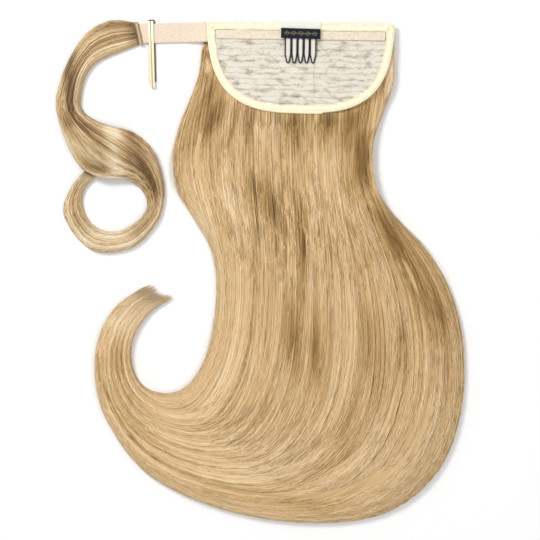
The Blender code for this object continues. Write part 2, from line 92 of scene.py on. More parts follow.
class Paint:
    # one material, and the one way that its nodes are made
    def __init__(self, name, roughness=0.8, metallic=0.0, shine=0.5, sheen=0.0):
        self.material = bpy.data.materials.new(name)
        self.material.use_nodes = True
        self.tree = self.material.node_tree
        self.shader = self.tree.nodes["Principled BSDF"]
        self.shader.inputs["Roughness"].default_value = roughness
        self.shader.inputs["Metallic"].default_value = metallic
        self.shader.inputs["Specular IOR Level"].default_value = shine
        self.shader.inputs["Sheen Weight"].default_value = sheen

    def node(self, kind, settings=None, inputs=None, output=0):
        node = self.tree.nodes.new(kind)
        for key, value in (settings or {}).items():
            if key == "stops":
                ramp = node.color_ramp
                while len(ramp.elements) < len(value):
                    ramp.elements.new(0.5)
                for element, (position, colour) in zip(ramp.elements, value):
                    element.position = position
                    element.color = colour
            else:
                setattr(node, key, value)
        for key, value in (inputs or {}).items():
            self.link(node.inputs[key], value)
        return Value(self, node.outputs[output])

    def link(self, socket, value):
        if isinstance(value, Value):
            self.tree.links.new(value.socket, socket)
        else:
            socket.default_value = value

    def set(self, name, value):
        self.link(self.shader.inputs[name], value)

    def place(self):
        return self.node("ShaderNodeTexCoord", output="Object")

    def map(self, name):
        return self.node("ShaderNodeUVMap", {"uv_map": name}, output="UV")

    def fact(self, name):
        return self.node("ShaderNodeAttribute", {"attribute_name": name}, output="Vector")

    def parts(self, vector):
        return [self.node("ShaderNodeSeparateXYZ", None, {0: vector}, output=axis) for axis in "XYZ"]

    def stretched(self, vector, scale):
        return self.node("ShaderNodeVectorMath", {"operation": "MULTIPLY"}, {0: vector, 1: scale})

    def grain(self, vector, scale, detail=2.0, rough=0.5):
        sockets = {"Vector": vector, "Scale": scale, "Detail": detail, "Roughness": rough}
        return self.node("ShaderNodeTexNoise", None, sockets)

    def mix(self, share, first, second):
        return self.node("ShaderNodeMix", {"data_type": "RGBA"}, {0: share, 6: first, 7: second}, output=2)

    def ramp(self, value, stops):
        return self.node("ShaderNodeValToRGB", {"stops": stops}, {0: value})

    def bump(self, height, strength=0.5, distance=0.0005):
        sockets = {"Strength": strength, "Distance": distance, "Height": height}
        self.set("Normal", self.node("ShaderNodeBump", None, sockets))


# Making pieces


def corners(node):
    return [Vector(corner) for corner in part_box(node)]


def newPiece(name, mesh, paint, body="hairpiece", slot=None, replaces=None):
    mesh.materials.clear()
    mesh.materials.append(paint.material)
    piece = bpy.data.objects.new(name, mesh)
    bpy.context.collection.objects.link(piece)
    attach(piece, body)
    if replaces:
        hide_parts(replaces)
    return piece


def meshFrom(bm, name, smooth=True, sharp=None):
    bm.normal_update()
    bmesh.ops.recalc_face_normals(bm, faces=bm.faces[:])
    mesh = bpy.data.meshes.new(name)
    bm.to_mesh(mesh)
    bm.free()
    if smooth:
        mesh.shade_smooth()
        if sharp:
            mesh.set_sharp_from_angle(angle=math.radians(sharp))
    return mesh


def curveMesh(curve):
    # a curve and its bevel, made a mesh
    holder = bpy.data.objects.new(curve.name, curve)
    bpy.context.collection.objects.link(holder)
    bpy.context.view_layer.update()
    mesh = bpy.data.meshes.new_from_object(holder.evaluated_get(bpy.context.evaluated_depsgraph_get()))
    bpy.data.objects.remove(holder)
    return mesh


def sweep(name, rings, closedAlong=False, sharp=None):
    # a skin over rings of points: a grid wrapped round, with its seam merged and its ends filled
    if closedAlong:
        rings = np.concatenate([rings, rings[:1]])
    along, around = rings.shape[:2]
    alongLength = np.cumsum([0, *np.linalg.norm(np.diff(rings.mean(1), axis=0), axis=1)])
    steps = np.linalg.norm(np.diff(rings, axis=1), axis=2)
    aroundLength = np.concatenate([np.zeros((along, 1)), np.cumsum(steps, axis=1)], axis=1)
    bm = bmesh.new()
    bm.loops.layers.uv.new("flow")
    cloth = bm.verts.layers.float_vector.new("cloth")  # millimetres around and along
    bmesh.ops.create_grid(bm, x_segments=around, y_segments=along - 1, size=1, calc_uvs=True)
    for vert in bm.verts:
        column = round((vert.co.x + 1) / 2 * around) % around
        row = round((vert.co.y + 1) / 2 * (along - 1))
        vert.co = rings[row, column]
        vert[cloth] = (aroundLength[row, column] / mm, alongLength[row] / mm, 0)
    bmesh.ops.remove_doubles(bm, verts=bm.verts[:], dist=1e-7)
    if not closedAlong:
        bmesh.ops.holes_fill(bm, edges=[e for e in bm.edges if e.is_boundary], sides=0)
    return meshFrom(bm, name, sharp=sharp)


def tapeProfile(width, thickness, flats, corners=3):
    # round a flat tape: (across, up) with rounded edges and more points on its faces
    radius = thickness * 0.48
    points = []
    for side, turn in ((1, 0), (-1, 1)):
        edge = side * (width / 2 - radius)
        for i in range(flats):
            points.append((-edge + 2 * edge * i / flats, side * thickness / 2))
        for i in range(corners):
            angle = math.pi / 2 - math.pi * i / corners
            points.append((edge + side * radius * math.cos(angle), side * thickness / 2 * math.sin(angle)))
    return np.array(points)


# The cap's frame: X across, Y up towards the straight edge, Z off its inner face

cap = {
    "turn": -0.8,  # degrees
    "rise": 12 * mm,
    "depth": 76 * mm,
    "taper": 0.06,
    "roundness": 3.0,
    "half": 1.7 * mm,  # of the binding's thickness
    "net": 1.2 * mm,
    "binding": 6.5 * mm,
    "band": 7.4 * mm,
    "gap": 0.3 * mm,
    "corner": 1.6 * mm,  # how far its two corners are rounded
}
bindingLow, bindingHigh = corners("edge_binding")
capWidth = bindingHigh.x - bindingLow.x
capSlope = math.asin(cap["rise"] / cap["depth"])
capTurn = math.radians(cap["turn"])
capTop = Vector((
    (bindingLow.x + bindingHigh.x) / 2,
    bindingHigh.y - capWidth / 2 * abs(math.sin(capTurn)) - cap["half"] * math.sin(capSlope),
    bindingLow.z + cap["half"] * math.cos(capSlope),
))
capPlanDepth = cap["depth"] * math.cos(capSlope)
capFrame = Matrix.Translation(capTop) @ Matrix.Rotation(capTurn, 4, "Z") @ Matrix.Rotation(-capSlope, 4, "X")


def halfWidth(share):
    # half of the cap's width at a share of its depth
    share = min(max(share, 0), 1)
    curve = (1 - share ** cap["roundness"]) ** (1 / cap["roundness"])
    return capWidth / 2 * (1 - cap["taper"] * share) * curve


def onCap(points):
    # flat places on the cap, as (x, depth, height) rows, taken to where they lie
    points = np.asarray(points, float)
    flat = points.reshape(-1, 3) * (1, -1, 1)
    turned = flat @ np.array(capFrame.to_3x3()).T + np.array(capFrame.translation)
    return turned.reshape(points.shape)


capUp = onCap([(0, 0, 1)])[0] - onCap([(0, 0, 0)])[0]


def hairCeiling(x, y):
    # how high hair may rise under the cap, and freely past its rim
    depth = capTop.y - y + (x - capTop.x) * math.tan(capTurn)
    edge = capPlanDepth + cap["binding"] / 2
    under = (cap["half"] + cap["gap"]) / math.cos(capSlope)
    return capTop.z + np.minimum(depth, edge) * math.tan(capSlope) - under + np.maximum(depth - edge, 0)


# Hair: a table of sections read at any share of its length

hairShape = {
    "between": 12,  # sections worked out between two rows of the table
    "square": 2.6,  # 2 is an arch, and more is flatter on top
    "drift": 0.4,  # how far the grooves wander across, in locks
    "driftRate": 9.42,
    "fineLocks": 3.3,  # fine grooves to each broad one
    "fineDrift": 1.3,
    "fineRate": 5,
    "fineGroove": 0.35,
    "clear": 0.3 * mm,  # under the cap
    "least": 0.12 * mm,  # over the table
}


class HairForm:
    def __init__(self, rows, edge, locks, groove, ceiling=None, seed=0, straight=0):
        rows = np.array(rows, float)
        fine = list(rows[:straight])
        rows = rows[straight:]
        ends = np.concatenate([rows[:1], rows, rows[-1:]])
        for before, here, there, after in zip(ends, ends[1:], ends[2:], ends[3:]):
            for t in np.linspace(0, 1, hairShape["between"], endpoint=False):
                bend = 2 * before - 5 * here + 4 * there - after + t * (3 * (here - there) + after - before)
                fine.append(here + t / 2 * (there - before + t * bend))
        fine.append(rows[-1])
        self.fine = np.array(fine)
        self.fine[:, 4] = self.fine[:, 4].clip(0)
        middle = (self.fine[:, :2] + self.fine[:, 2:4]) / 2
        reach = np.concatenate([[0], np.cumsum(np.linalg.norm(np.diff(middle, axis=0), axis=1))])
        self.share = reach / reach[-1]
        self.edge, self.locks, self.groove, self.ceiling = edge, locks, groove, ceiling
        self.phases = np.random.default_rng(seed).uniform(0, 6.28, 3)

    def grooves(self, s, u):
        # how much lower the hair is between its locks
        p, shape = self.phases, hairShape
        drift = shape["drift"] * np.sin(shape["driftRate"] * s + p[0] * 0.1)
        fineDrift = shape["fineDrift"] * np.sin(shape["fineRate"] * s + p[1]) + p[2]
        broad = np.abs(np.cos(np.pi * (self.locks * u + drift))) ** 5
        fine = np.abs(np.cos(np.pi * (self.locks * shape["fineLocks"] * u + fineDrift))) ** 3
        return self.groove * broad + self.groove * shape["fineGroove"] * fine

    def place(self, s, u, h=1.0, over=0.0):
        # the point a share u across the section, swayed, and at a share h of its height
        ax, ay, bx, by, floor, crown, sway = [np.interp(s, self.share, column) for column in self.fine.T]
        u = u + 4 * sway * u * (1 - u)
        x = ax + (bx - ax) * u
        y = ay + (by - ay) * u
        dome = np.sqrt(np.clip(1 - np.abs(2 * u - 1) ** hairShape["square"], 0, 1))
        z = floor + (self.edge + (crown - self.edge) * dome * (1 - self.grooves(s, u))) * h + over
        if self.ceiling is not None:
            z = np.minimum(z, self.ceiling(x, y) - hairShape["clear"])
        return np.stack([x, y, np.maximum(z, hairShape["least"])], -1)


def hairBody(name, form, along, over=96, under=18, sink=1.7 * mm, end=1.0):
    # the closed form that the strands lie on, with its underside and its lowest top in millimetres
    low, lowTop = 0.25, 0.6
    s = np.linspace(0, end, along)[:, None]
    u = np.linspace(0.008, 0.992, over)[None, :]
    back = np.linspace(0.99, 0.01, under)[None, :]
    top = form.place(s, u, 1.0, -sink)
    top[..., 2] = np.maximum(top[..., 2], form.place(s, u, 0.0, lowTop * mm)[..., 2])
    return sweep(name, np.concatenate([top, form.place(s, back, 0.0, low * mm)], axis=1))


def strandMesh(name, paths, radii, facts, flat=0.6):
    # strands as curves with a three-sided bevel, then one mesh that keeps each strand's own facts
    count, steps = paths.shape[:2]
    profile = bpy.data.curves.new("strandProfile", "CURVE")
    profile.dimensions = "2D"
    corner = profile.splines.new("POLY")
    corner.points.add(2)
    for point, angle in zip(corner.points, (90, 210, 330)):
        point.co = (math.cos(math.radians(angle)), math.sin(math.radians(angle)) * flat, 0, 1)
    corner.use_cyclic_u = True
    profileObject = bpy.data.objects.new("strandProfile", profile)
    bpy.context.collection.objects.link(profileObject)
    curve = bpy.data.curves.new(name, "CURVE")
    curve.dimensions = "3D"
    curve.twist_mode = "Z_UP"
    curve.bevel_mode = "OBJECT"
    curve.bevel_object = profileObject
    ones = np.ones((steps, 1))
    for path, radius in zip(paths, radii):
        spline = curve.splines.new("POLY")
        spline.points.add(steps - 1)
        spline.points.foreach_set("co", np.hstack([path, ones]).ravel())
        spline.points.foreach_set("radius", radius)
    mesh = curveMesh(curve)
    bpy.data.objects.remove(profileObject)
    attribute = mesh.attributes.new("hair", "FLOAT_VECTOR", "POINT")
    attribute.data.foreach_set("vector", np.repeat(facts, 3, axis=1).ravel())
    addStrandMap(mesh, count, steps)
    bm = bmesh.new()
    bm.from_mesh(mesh)
    bmesh.ops.holes_fill(bm, edges=[edge for edge in bm.edges if edge.is_boundary], sides=3)
    bm.to_mesh(mesh)
    bm.free()
    mesh.shade_smooth()
    return mesh


def addStrandMap(mesh, count, steps):
    # each strand has a strip of its own in the map, three columns wide, with a margin round it
    while mesh.uv_layers:
        mesh.uv_layers.remove(mesh.uv_layers[0])
    layer = mesh.uv_layers.new(name="OFBake")
    vertex = np.empty(len(mesh.loops), np.int32)
    total, first = np.empty((2, len(mesh.polygons)), np.int32)
    mesh.loops.foreach_get("vertex_index", vertex)
    mesh.polygons.foreach_get("loop_total", total)
    mesh.polygons.foreach_get("loop_start", first)
    side = vertex % 3
    ring = (vertex // 3) % steps
    strand = vertex // (3 * steps)
    low = np.minimum.reduceat(side, first)
    high = np.maximum.reduceat(side, first)
    wraps = np.repeat((low == 0) & (high == 2) & (total == 4), total)
    side = np.where(wraps & (side == 0), 3, side)
    columns = math.ceil(math.sqrt(count * 3))
    rows = math.ceil(count / columns)
    u = (strand % columns + (side + 0.1) / 3.2) / columns
    v = (strand // columns + (ring + 0.3) / (steps + 0.6)) / rows
    layer.data.foreach_set("uv", np.stack([u, v], -1).ravel())


def wander(rng, s, size, waves=3, fastest=4.0):
    # slow random waves along each strand, the faster ones smaller
    total = np.zeros_like(s)
    for _ in range(waves):
        rate = rng.uniform(0.5, fastest, (len(s), 1))
        phase = rng.uniform(0, 6.28, (len(s), 1))
        total += np.sin(6.28 * rate * s + phase) / rate ** 0.7
    return total * size / waves


growth = {
    "uneven": 0.3,  # how far a lock's middle may be off its place, in locks
    "spread": 0.62,  # of a lock's strands round its middle, in locks
    "lockWaves": (0.6, 2.6),
    "toWisp": 0.6,  # how far the tips draw together in wisps
    "shortest": (0.5, 0.7, 2.2),  # of a wisp, of a lock at the sides, and of a strand, for the tips
    "bend": (0.8, 0.15, 0.8),  # share along where the smoothing ends, how fast it fades, and its most
    "standOff": 0.012,  # of the strands beside the form
    "thin": 0.25,  # how much thinner a strand is at its end
    "tipLight": 0.12,
}


def growHair(form, look, rng):
    # paths, thicknesses and facts (tone, share along, lock) of strands that follow the form in locks
    locks, count, tips = look["locks"], look["strands"], look.get("tips")
    lock = rng.integers(0, locks, count)
    centre = (lock + 0.5 + rng.uniform(-growth["uneven"], growth["uneven"], locks)[lock]) / locks
    start = rng.uniform(*look["start"], count)
    end = rng.uniform(*look["end"], count)
    if tips:
        wispLeast, sideLeast, most = growth["shortest"]
        wisp = lock * look["wisps"] // locks
        reach = sideLeast + (1 - sideLeast) * np.abs(np.cos(np.pi * centre)) ** 1.2
        reach *= rng.uniform(wispLeast, 1, look["wisps"])[wisp]
        end = tips + (1 - tips) * reach * (1 - np.minimum(rng.exponential(0.4, count), most))
    t = np.linspace(0, 1, look["steps"])[None, :]
    s = start[:, None] + (end - start)[:, None] * t

    lockWave = np.random.default_rng(look["seed"] + 7)
    rates = 6.28 * lockWave.uniform(*growth["lockWaves"], (2, locks))[:, lock, None]
    phases = lockWave.uniform(0, 6.28, (2, locks))[:, lock, None]
    drift = np.sin(rates * s + phases).sum(0)
    spread = rng.normal(0, growth["spread"], count)[:, None] / locks
    u = centre[:, None] + drift * look["drift"] / locks + spread * (1 - look["gather"] * s ** 1.5)
    u += wander(rng, s, look["wander"], 2, 2.0)
    if tips:
        share = np.clip((s - tips) / (1 - tips), 0, 1)
        u = u + (((wisp + 0.5) / look["wisps"])[:, None] - u) * share * growth["toWisp"]
    u = np.where(u < 0, -u * 0.5, u)  # strands past the form's sides turn back
    u = np.where(u > 1, 1 - (u - 1) * 0.5, u)
    u = look["inset"] + u * (1 - 2 * look["inset"])
    beside = rng.random(count) < look["beside"]
    side = rng.uniform(-1, 1, count)
    sidePlace = np.where(side < 0, 0.0, 1.0) - side * growth["standOff"]
    u = np.where(beside[:, None], sidePlace[:, None], u)
    height = np.where(beside, rng.uniform(0.1, 1, count), 1)[:, None]
    lift = rng.uniform(-look["layer"], look["layer"] * 0.3, count)[:, None] * np.ones_like(s)

    paths = form.place(s, u, height, lift)
    if tips:
        last, fade, most = growth["bend"]
        free = (4 * u * (1 - u) * (last - s) / fade).clip(0, most)[:, 1:-1, None]
        for _ in range(look["relax"]):
            between = (paths[:, :-2, :2] + paths[:, 2:, :2]) / 2
            paths[:, 1:-1, :2] += (between - paths[:, 1:-1, :2]) * free
        paths[:, :, :2] += share[:, :, None] ** 2 * rng.normal(0, look["fray"], (count, 1, 2))
    radii = rng.uniform(*look["radius"], count)[:, None] * (1 - growth["thin"] * t)
    radii = radii * np.clip((1 - t) / look["taper"], 0.12, 1) * np.clip(t / 0.02, 0.5, 1)

    tone = look["tone"] + rng.normal(0, look["contrast"], count)[:, None]
    tone = tone + lockWave.normal(0, look["lockContrast"], locks)[lock][:, None]
    # the strokes add painted shade and painted highlights
    tone = tone + wander(rng, s, 0.03, 2, 2.0) + shadingStrokeTone(paths, look["strokes"])
    if tips:
        tone = tone + share * growth["tipLight"]
    lockShare = np.broadcast_to(lock[:, None] / locks, s.shape)
    return paths, radii, np.stack([tone, s, lockShare], -1)


print("tools ready")


# Camera and light

view = {
    "middle": (8.4 * mm, 1.1 * mm),  # of the photograph's frame
    "frameWidth": 448.2 * mm,
    "lens": 250,
    "height": 5 * mm,  # of the plane that the frame's width is measured in
}


def addCamera():
    camera = bpy.data.objects.new("camera", bpy.data.cameras.new("camera"))
    camera.data.lens = view["lens"]
    camera.data.clip_end = 10
    distance = view["frameWidth"] * view["lens"] / camera.data.sensor_width
    camera.location = (*view["middle"], view["height"] + distance)
    bpy.context.collection.objects.link(camera)
    bpy.context.scene.camera = camera


studio = {
    "keyLight": ((-0.75, 0.85, 1.25), 0.55, 16),  # place, size and power
    "fillLight": ((0.7, -0.6, 1.5), 1.2, 7.5),
    "sky": 0.55,
    "paper": (0.93, 0.93, 0.93, 1),
    "paperHalf": 2.5,
}


def addLight(name):
    # a round soft light that looks at the middle of the table
    place, size, power = studio[name]
    light = bpy.data.lights.new(name, "AREA")
    light.shape = "DISK"
    light.size = size
    light.energy = power
    lamp = bpy.data.objects.new(name, light)
    lamp.location = place
    lamp.rotation_euler = (-Vector(place)).to_track_quat("-Z", "Y").to_euler()
    bpy.context.collection.objects.link(lamp)


def addStudio():
    addLight("keyLight")
    addLight("fillLight")
    world = bpy.data.worlds.new("studio")
    world.use_nodes = True
    sky = world.node_tree.nodes["Background"].inputs
    sky["Color"].default_value = (1, 1, 1, 1)
    sky["Strength"].default_value = studio["sky"]
    bpy.context.scene.world = world
    bpy.context.scene.view_settings.view_transform = "Standard"
    bm = bmesh.new()
    bmesh.ops.create_grid(bm, x_segments=2, y_segments=2, size=studio["paperHalf"])
    paper = Paint("paper", roughness=0.95, shine=0.1)
    paper.set("Base Color", studio["paper"])
    floor = bpy.data.objects.new("floor", meshFrom(bm, "floor", smooth=False))
    floor.data.materials.append(paper.material)
    bpy.context.collection.objects.link(floor)


addCamera()
addStudio()
print("camera and light")


# The fall of hair

fall = {
    "edge": 2.4 * mm,
    "tab": 6.9 * mm,  # that the strap's end takes from the first roots
    "setback": 5.6 * mm,
    "strapBelow": 17.7 * mm,
    "step": 1.8 * mm,  # from the strap's lower edge to the first full section
    "locks": 7,
    "groove": 0.13,
    "tailClearance": 27.5 * mm,
    "tipLength": 14.5 * mm,
    "tipBend": -18,  # degrees
}
# depth as a share of the cap's, sides as shares of its width, crown, and sway, which is how far across
# the middle hair lies
roots = [
    (0.47, -0.527, 0.494, 0.6, 0),
    (0.68, -0.553, 0.488, 0.68, 0.02),
    (0.86, -0.592, 0.462, 0.76, 0.05),
]
# drop from the rim as a share of the fall's length, sides as shares of the cap's width, crown, sway
drape = [
    (0.035, -0.649, 0.405, 0.84, 0.106),
    (0.11, -0.679, 0.364, 0.92, 0.143),
    (0.188, -0.654, 0.394, 0.97, 0.125),
    (0.266, -0.554, 0.526, 1, 0.03),
]
# inner side and its drop, outer side and its drop, crown, sway
curl = [
    (-0.242, 0.325, 0.331, 0.325, 1, -0.054),
    (-0.226, 0.408, 0.397, 0.418, 0.98, -0.112),
    (-0.235, 0.518, 0.438, 0.555, 0.95, -0.134),
    (-0.259, 0.599, 0.433, 0.731, 0.9, -0.115),
    (-0.302, 0.662, 0.368, 0.878, 0.84, -0.11),
    (-0.35, 0.683, 0.229, 0.976, 0.78, -0.043),
    (-0.388, 0.681, 0.024, 1, 0.72, 0.045),
]
# inner side and its rise, outer side and its rise, crown, sway
tail = [
    (-0.418, 0.568, -0.209, 0.056, 0.67, 0.06),
    (-0.442, 0.608, -0.412, 0.205, 0.62, 0.05),
    (-0.457, 0.667, -0.524, 0.43, 0.57, 0.04),
    (-0.459, 0.726, -0.557, 0.62, 0.52, 0.03),
    (-0.451, 0.793, -0.546, 0.785, 0.44, 0.02),
    (-0.421, 0.865, -0.505, 0.903, 0.34, 0),
    (-0.38, 0.924, -0.442, 0.979, 0.22, 0),
]

strapEnd = corners("hook_strap")[0].xy + Vector((1.83, 8.1)) * mm  # the middle of its far edge
fallLow, fallHigh = corners("hair_fall")
lockLow, lockHigh = corners("wrap_lock")
rimY = capTop.y - capPlanDepth
fallLength = rimY - fallLow.y
curlWidth = fallHigh.x - fallLow.x


def fallRows():
    middle = capTop.x
    crown = fallHigh.z
    tailRise = lockLow.y - fall["tailClearance"] - fallLow.y
    inside = middle - capWidth / 2 + fall["tab"]
    right = middle + roots[0][2] * capWidth
    left = middle + roots[0][1] * capWidth
    first = roots[0][3] * crown
    top = capTop.y - fall["setback"]
    below = capTop.y - fall["strapBelow"]
    rows = [
        (inside, top, right, top, 0, first, 0),
        (inside, below, right, below, 0, first, 0),
        (left, below - fall["step"], right, below - fall["step"], 0, first, 0),
    ]
    for table, start, way in ((roots, capTop.y, -capPlanDepth), (drape, rimY, -fallLength)):
        for share, a, b, high, sway in table:
            y = start + share * way
            rows.append((middle + a * capWidth, y, middle + b * capWidth, y, 0, high * crown, sway))
    for table, start, way in ((curl, rimY, -fallLength), (tail, fallLow.y, tailRise)):
        for a, shareA, b, shareB, high, sway in table:
            sideA = (middle + a * curlWidth, start + shareA * way)
            sideB = (middle + b * curlWidth, start + shareB * way)
            rows.append((*sideA, *sideB, 0, high * crown, sway))
    before, last = np.array(rows[-2:])
    way = (last[:2] + last[2:4] - before[:2] - before[2:4]) / 2
    way = Matrix.Rotation(math.radians(fall["tipBend"]), 2) @ Vector(way / np.linalg.norm(way))
    tip = np.array([*way, *way]) * fall["tipLength"]
    rows.append((*(last[:4] + tip), 0, 0.1 * crown, 0))
    return rows


# Painted shade and painted highlights on the hair, as darker and lighter strokes, in millimetres right
# and down from the middle of the cap's edge: from, to, half width, and how much the tone changes
strokes = [
    # painted shade on the roots beside and under the rim
    (-64, 67, -78, 87, 5, -0.34),  # roots beside the rim
    (-72, 52, -84, 72, 4, -0.22),
    (-56, 85, -61, 102, 3, -0.3),
    (-43, 75, -43, 92, 3.5, -0.22),
    (-4, 77, -4, 94, 8, -0.28),
    (21, 75, 16, 94, 7, -0.3),
    (41, 75, 38, 94, 5, -0.3),
    (-60, 68, 58, 68, 9, -0.14),
    # painted shade on locks that lie under the surface
    (-41, 133, -26, 160, 4.5, -0.24),  # locks under the surface
    (-31, 126, -21, 155, 3.5, -0.2),
    (-20, 150, -18, 178, 5, -0.16),
    (-1, 153, 2, 195, 4, -0.2),
    (2, 195, 2, 230, 4, -0.18),
    (53, 100, 51, 127, 5.5, -0.46),
    (67, 160, 80, 186, 6, -0.34),
    (-150, 250, -108, 220, 14, 0.24),  # the light on the tail's tips
    (90, 196, 112, 240, 7, -0.12),
    (-9, 230, -10, 272, 7, -0.26),
    (11, 257, 14, 290, 5, -0.22),
    (58, 250, 70, 317, 12, -0.12),
    (112, 240, 122, 300, 9, -0.1),
    (41, 324, 37, 360, 10, -0.08),
    # painted shade in the parting along the tail's outside
    (-169, 275, -166.5, 296, 1.2, -0.22),  # the parting along the tail's outside
    (-166.5, 296, -153.6, 321, 1.2, -0.26),
    (-153.6, 321, -140.5, 343, 1.3, -0.24),
    (-140.5, 343, -118, 364, 1.6, -0.16),
    (46, 73, 46, 134, 9, -0.3),
    (-72, 51, -88, 97, 14, -0.22),
    (69, 159, 115, 246, 16, -0.22),
    (82, 254, 82, 288, 8, -0.15),
    (24, 76, 28, 90, 6, -0.25),
    (-13, 76, -12, 130, 5, -0.12),
    (15, 238, 15, 312, 6, -0.12),
    (-3, 254, -3, 296, 5, -0.15),
    (-76, 387, 24, 402, 6, -0.16),
    (-152, 262, -152, 283, 7, -0.12),
    (-142, 329, -92, 375, 4, -0.1),
    (-26, 178, -26, 190, 5, 0.12),
    (-18, 340, -30, 352, 8, 0.08),
    (-65, 141, -46, 164, 7, 0.18),  # where the light catches
    (-92, 135, -82, 166, 9, 0.12),
    (-82, 166, -73, 213, 10, 0.1),
    (29, 131, 38, 155, 6, 0.1),
    (9, 138, 9, 230, 3.5, 0.12),
    (-33, 88, -14, 117, 8, 0.08),
    (-42, 279, -72, 320, 14, 0.1),
    (-110, 337, -35, 378, 24, 0.12),
    (-168, 240, -140, 222, 8, 0.06),
    (0, 360, 60, 370, 20, 0.05),
]
# Painted shade and painted highlights on the wrap lock, as strokes in the same columns
lockShadingStrokes = [
    # painted shade on the first bend's outside and in its partings
    (-171, 1, -142, -1, 5, -0.24),  # the first bend's outside, and its partings
    (-192, 30, -192, 80, 5, -0.42),
    (-176, 60, -180, 84, 2.5, -0.24),
    (-180, 84, -163, 88, 4, -0.22),
    (-142, 92, -120, 138, 6, -0.36),
    # painted shade where the end goes under
    (-176, 119, -163, 122, 3, -0.24),  # where the end goes under
    (-157, 86, -152, 128, 5.5, 0.42),  # the light across the bend
    (-180, 128, -150, 131, 3.5, 0.36),
    (-200, 47, -195, 72, 4, 0.16),
    (-192, 97, -171, 113, 4, 0.2),
    (-178, 178, -146, 180, 8, 0.34),
    (-192, 150, -190, 165, 4, 0.16),
]


def shadingStrokeTone(points, table):
    # what the painted shade and highlight strokes add to the tone at each point
    x = (points[..., 0] - capTop.x) / mm
    y = (capTop.y - points[..., 1]) / mm
    total = np.zeros(x.shape)
    for x1, y1, x2, y2, width, amount in table:
        along = ((x - x1) * (x2 - x1) + (y - y1) * (y2 - y1)) / ((x2 - x1) ** 2 + (y2 - y1) ** 2)
        along = np.clip(along, 0, 1)
        away = np.hypot(x - x1 - (x2 - x1) * along, y - y1 - (y2 - y1) * along)
        total += amount * np.exp(-((away / width) ** 2))
    return total


# The wrap lock

wrap = {
    "weft": 3.8 * mm,
    "weftLength": 18.6 * mm,
    "weftOverlap": 2.4 * mm,
    "slant": 4.2 * mm,
    "edge": 1.6 * mm,
    "thickness": 10 * mm,
    "endThickness": 6 * mm,
    "locks": 4,
    "groove": 0.13,
    "widthShare": 0.991,  # of the table's units that the lock's box holds
    "dropShare": 0.942,
    "clearLift": 0.6 * mm,  # of the upper pass over the end
    "clearWeft": 0.3 * mm,
}
# outer side across and down, inner side across and down, lift, crown
wrapRows = [
    (-0.225, -0.058, -0.188, 0.082, 0, 0.75),
    (-0.39, -0.03, -0.326, 0.108, 0, 0.85),
    (-0.518, 0.022, -0.417, 0.138, 0, 0.92),
    (-0.647, 0.125, -0.491, 0.194, 0, 0.96),
    (-0.729, 0.228, -0.523, 0.267, 0, 1),
    (-0.752, 0.314, -0.518, 0.331, 0.1, 1),
    (-0.683, 0.434, -0.335, 0.387, 0.6, 1),
    (-0.537, 0.568, -0.06, 0.422, 1, 1),
    (-0.335, 0.622, 0.106, 0.482, 1, 0.95),
    (-0.133, 0.624, 0.188, 0.555, 0.5, 0.9),
    (0.014, 0.658, 0.239, 0.654, 0.1, 0.85),
    (0.096, 0.735, 0.229, 0.735, 0, 0.8),
    (0.014, 0.8, 0.17, 0.813, 0, 0.8),
    (-0.17, 0.852, -0.032, 0.916, 0, 0.8),
    (-0.353, 0.843, -0.335, 0.942, 0, 0.8),
    (-0.454, 0.802, -0.528, 0.895, 0, 0.78),
    (-0.509, 0.744, -0.665, 0.8, 0, 0.75),
    (-0.514, 0.701, -0.679, 0.735, 0, 0.7),
    (-0.482, 0.658, -0.619, 0.667, 0, 0.62),
]
# the tucked end, its crown a share of its own thickness
tuckRows = [
    (-0.408, 0.624, -0.546, 0.619, 0, 1),
    (-0.317, 0.594, -0.445, 0.572, 0, 0.8),
]


def lockRows():
    width = (lockHigh.x - lockLow.x) / wrap["widthShare"]
    drop = (strapEnd.y - lockLow.y) / wrap["dropShare"]
    lift = wrap["endThickness"] + wrap["clearLift"]
    seam = strapEnd.x + wrap["weftOverlap"] - wrap["weft"] - wrap["clearWeft"]
    half = wrap["weftLength"] / 2
    slant = wrap["slant"] / 2
    start = (seam - slant, strapEnd.y + half, seam + slant, strapEnd.y - half)
    rows = [(*start, 0, wrap["thickness"] * 0.6, 0)]
    for table, thickness in ((wrapRows, wrap["thickness"]), (tuckRows, wrap["endThickness"])):
        for a, downA, b, downB, raised, high in table:
            sideA = (strapEnd.x + a * width, strapEnd.y - downA * drop)
            sideB = (strapEnd.x + b * width, strapEnd.y - downB * drop)
            rows.append((*sideA, *sideB, raised * lift, high * thickness, 0))
    return rows


# Hair colour

blonde = {
    "dark": (144, 108, 56),
    "deep": (192, 156, 99),
    "middle": (228, 196, 148),
    "light": (244, 221, 182),
    "bright": (253, 243, 220),
}
honey = {
    "dark": (104, 76, 42),
    "deep": (152, 118, 74),
    "middle": (202, 170, 122),
    "light": (236, 212, 172),
    "bright": (252, 240, 214),
}


def hairPaint(name, colours, fact=True):
    paint = Paint(name, roughness=0.42, shine=0.45)
    if fact:
        tone = paint.parts(paint.fact("hair"))[0]
    else:
        # the body under the strands: streaks along the flow, its tone kept below the strands' as painted
        # shade between them
        flow = paint.stretched(paint.map("flow"), (60, 2.2, 1))
        fine = paint.stretched(paint.map("flow"), (420, 3.0, 1))
        tone = paint.grain(flow, 1.0) * 0.35 + paint.grain(fine, 1.0) * 0.45 - 0.04
        paint.bump(paint.grain(fine, 1.0, 1.0), 0.9, 0.0006)
    stops = [(at, linear(*colours[key])) for key, at in zip(colours, (0.0, 0.25, 0.5, 0.75, 1.0))]
    paint.set("Base Color", paint.ramp(tone, stops))
    return paint


blondeHair = hairPaint("blondeHair", blonde)
honeyHair = hairPaint("honeyHair", honey)
blondeBody = hairPaint("blondeBody", blonde, fact=False)
honeyBody = hairPaint("honeyBody", honey, fact=False)

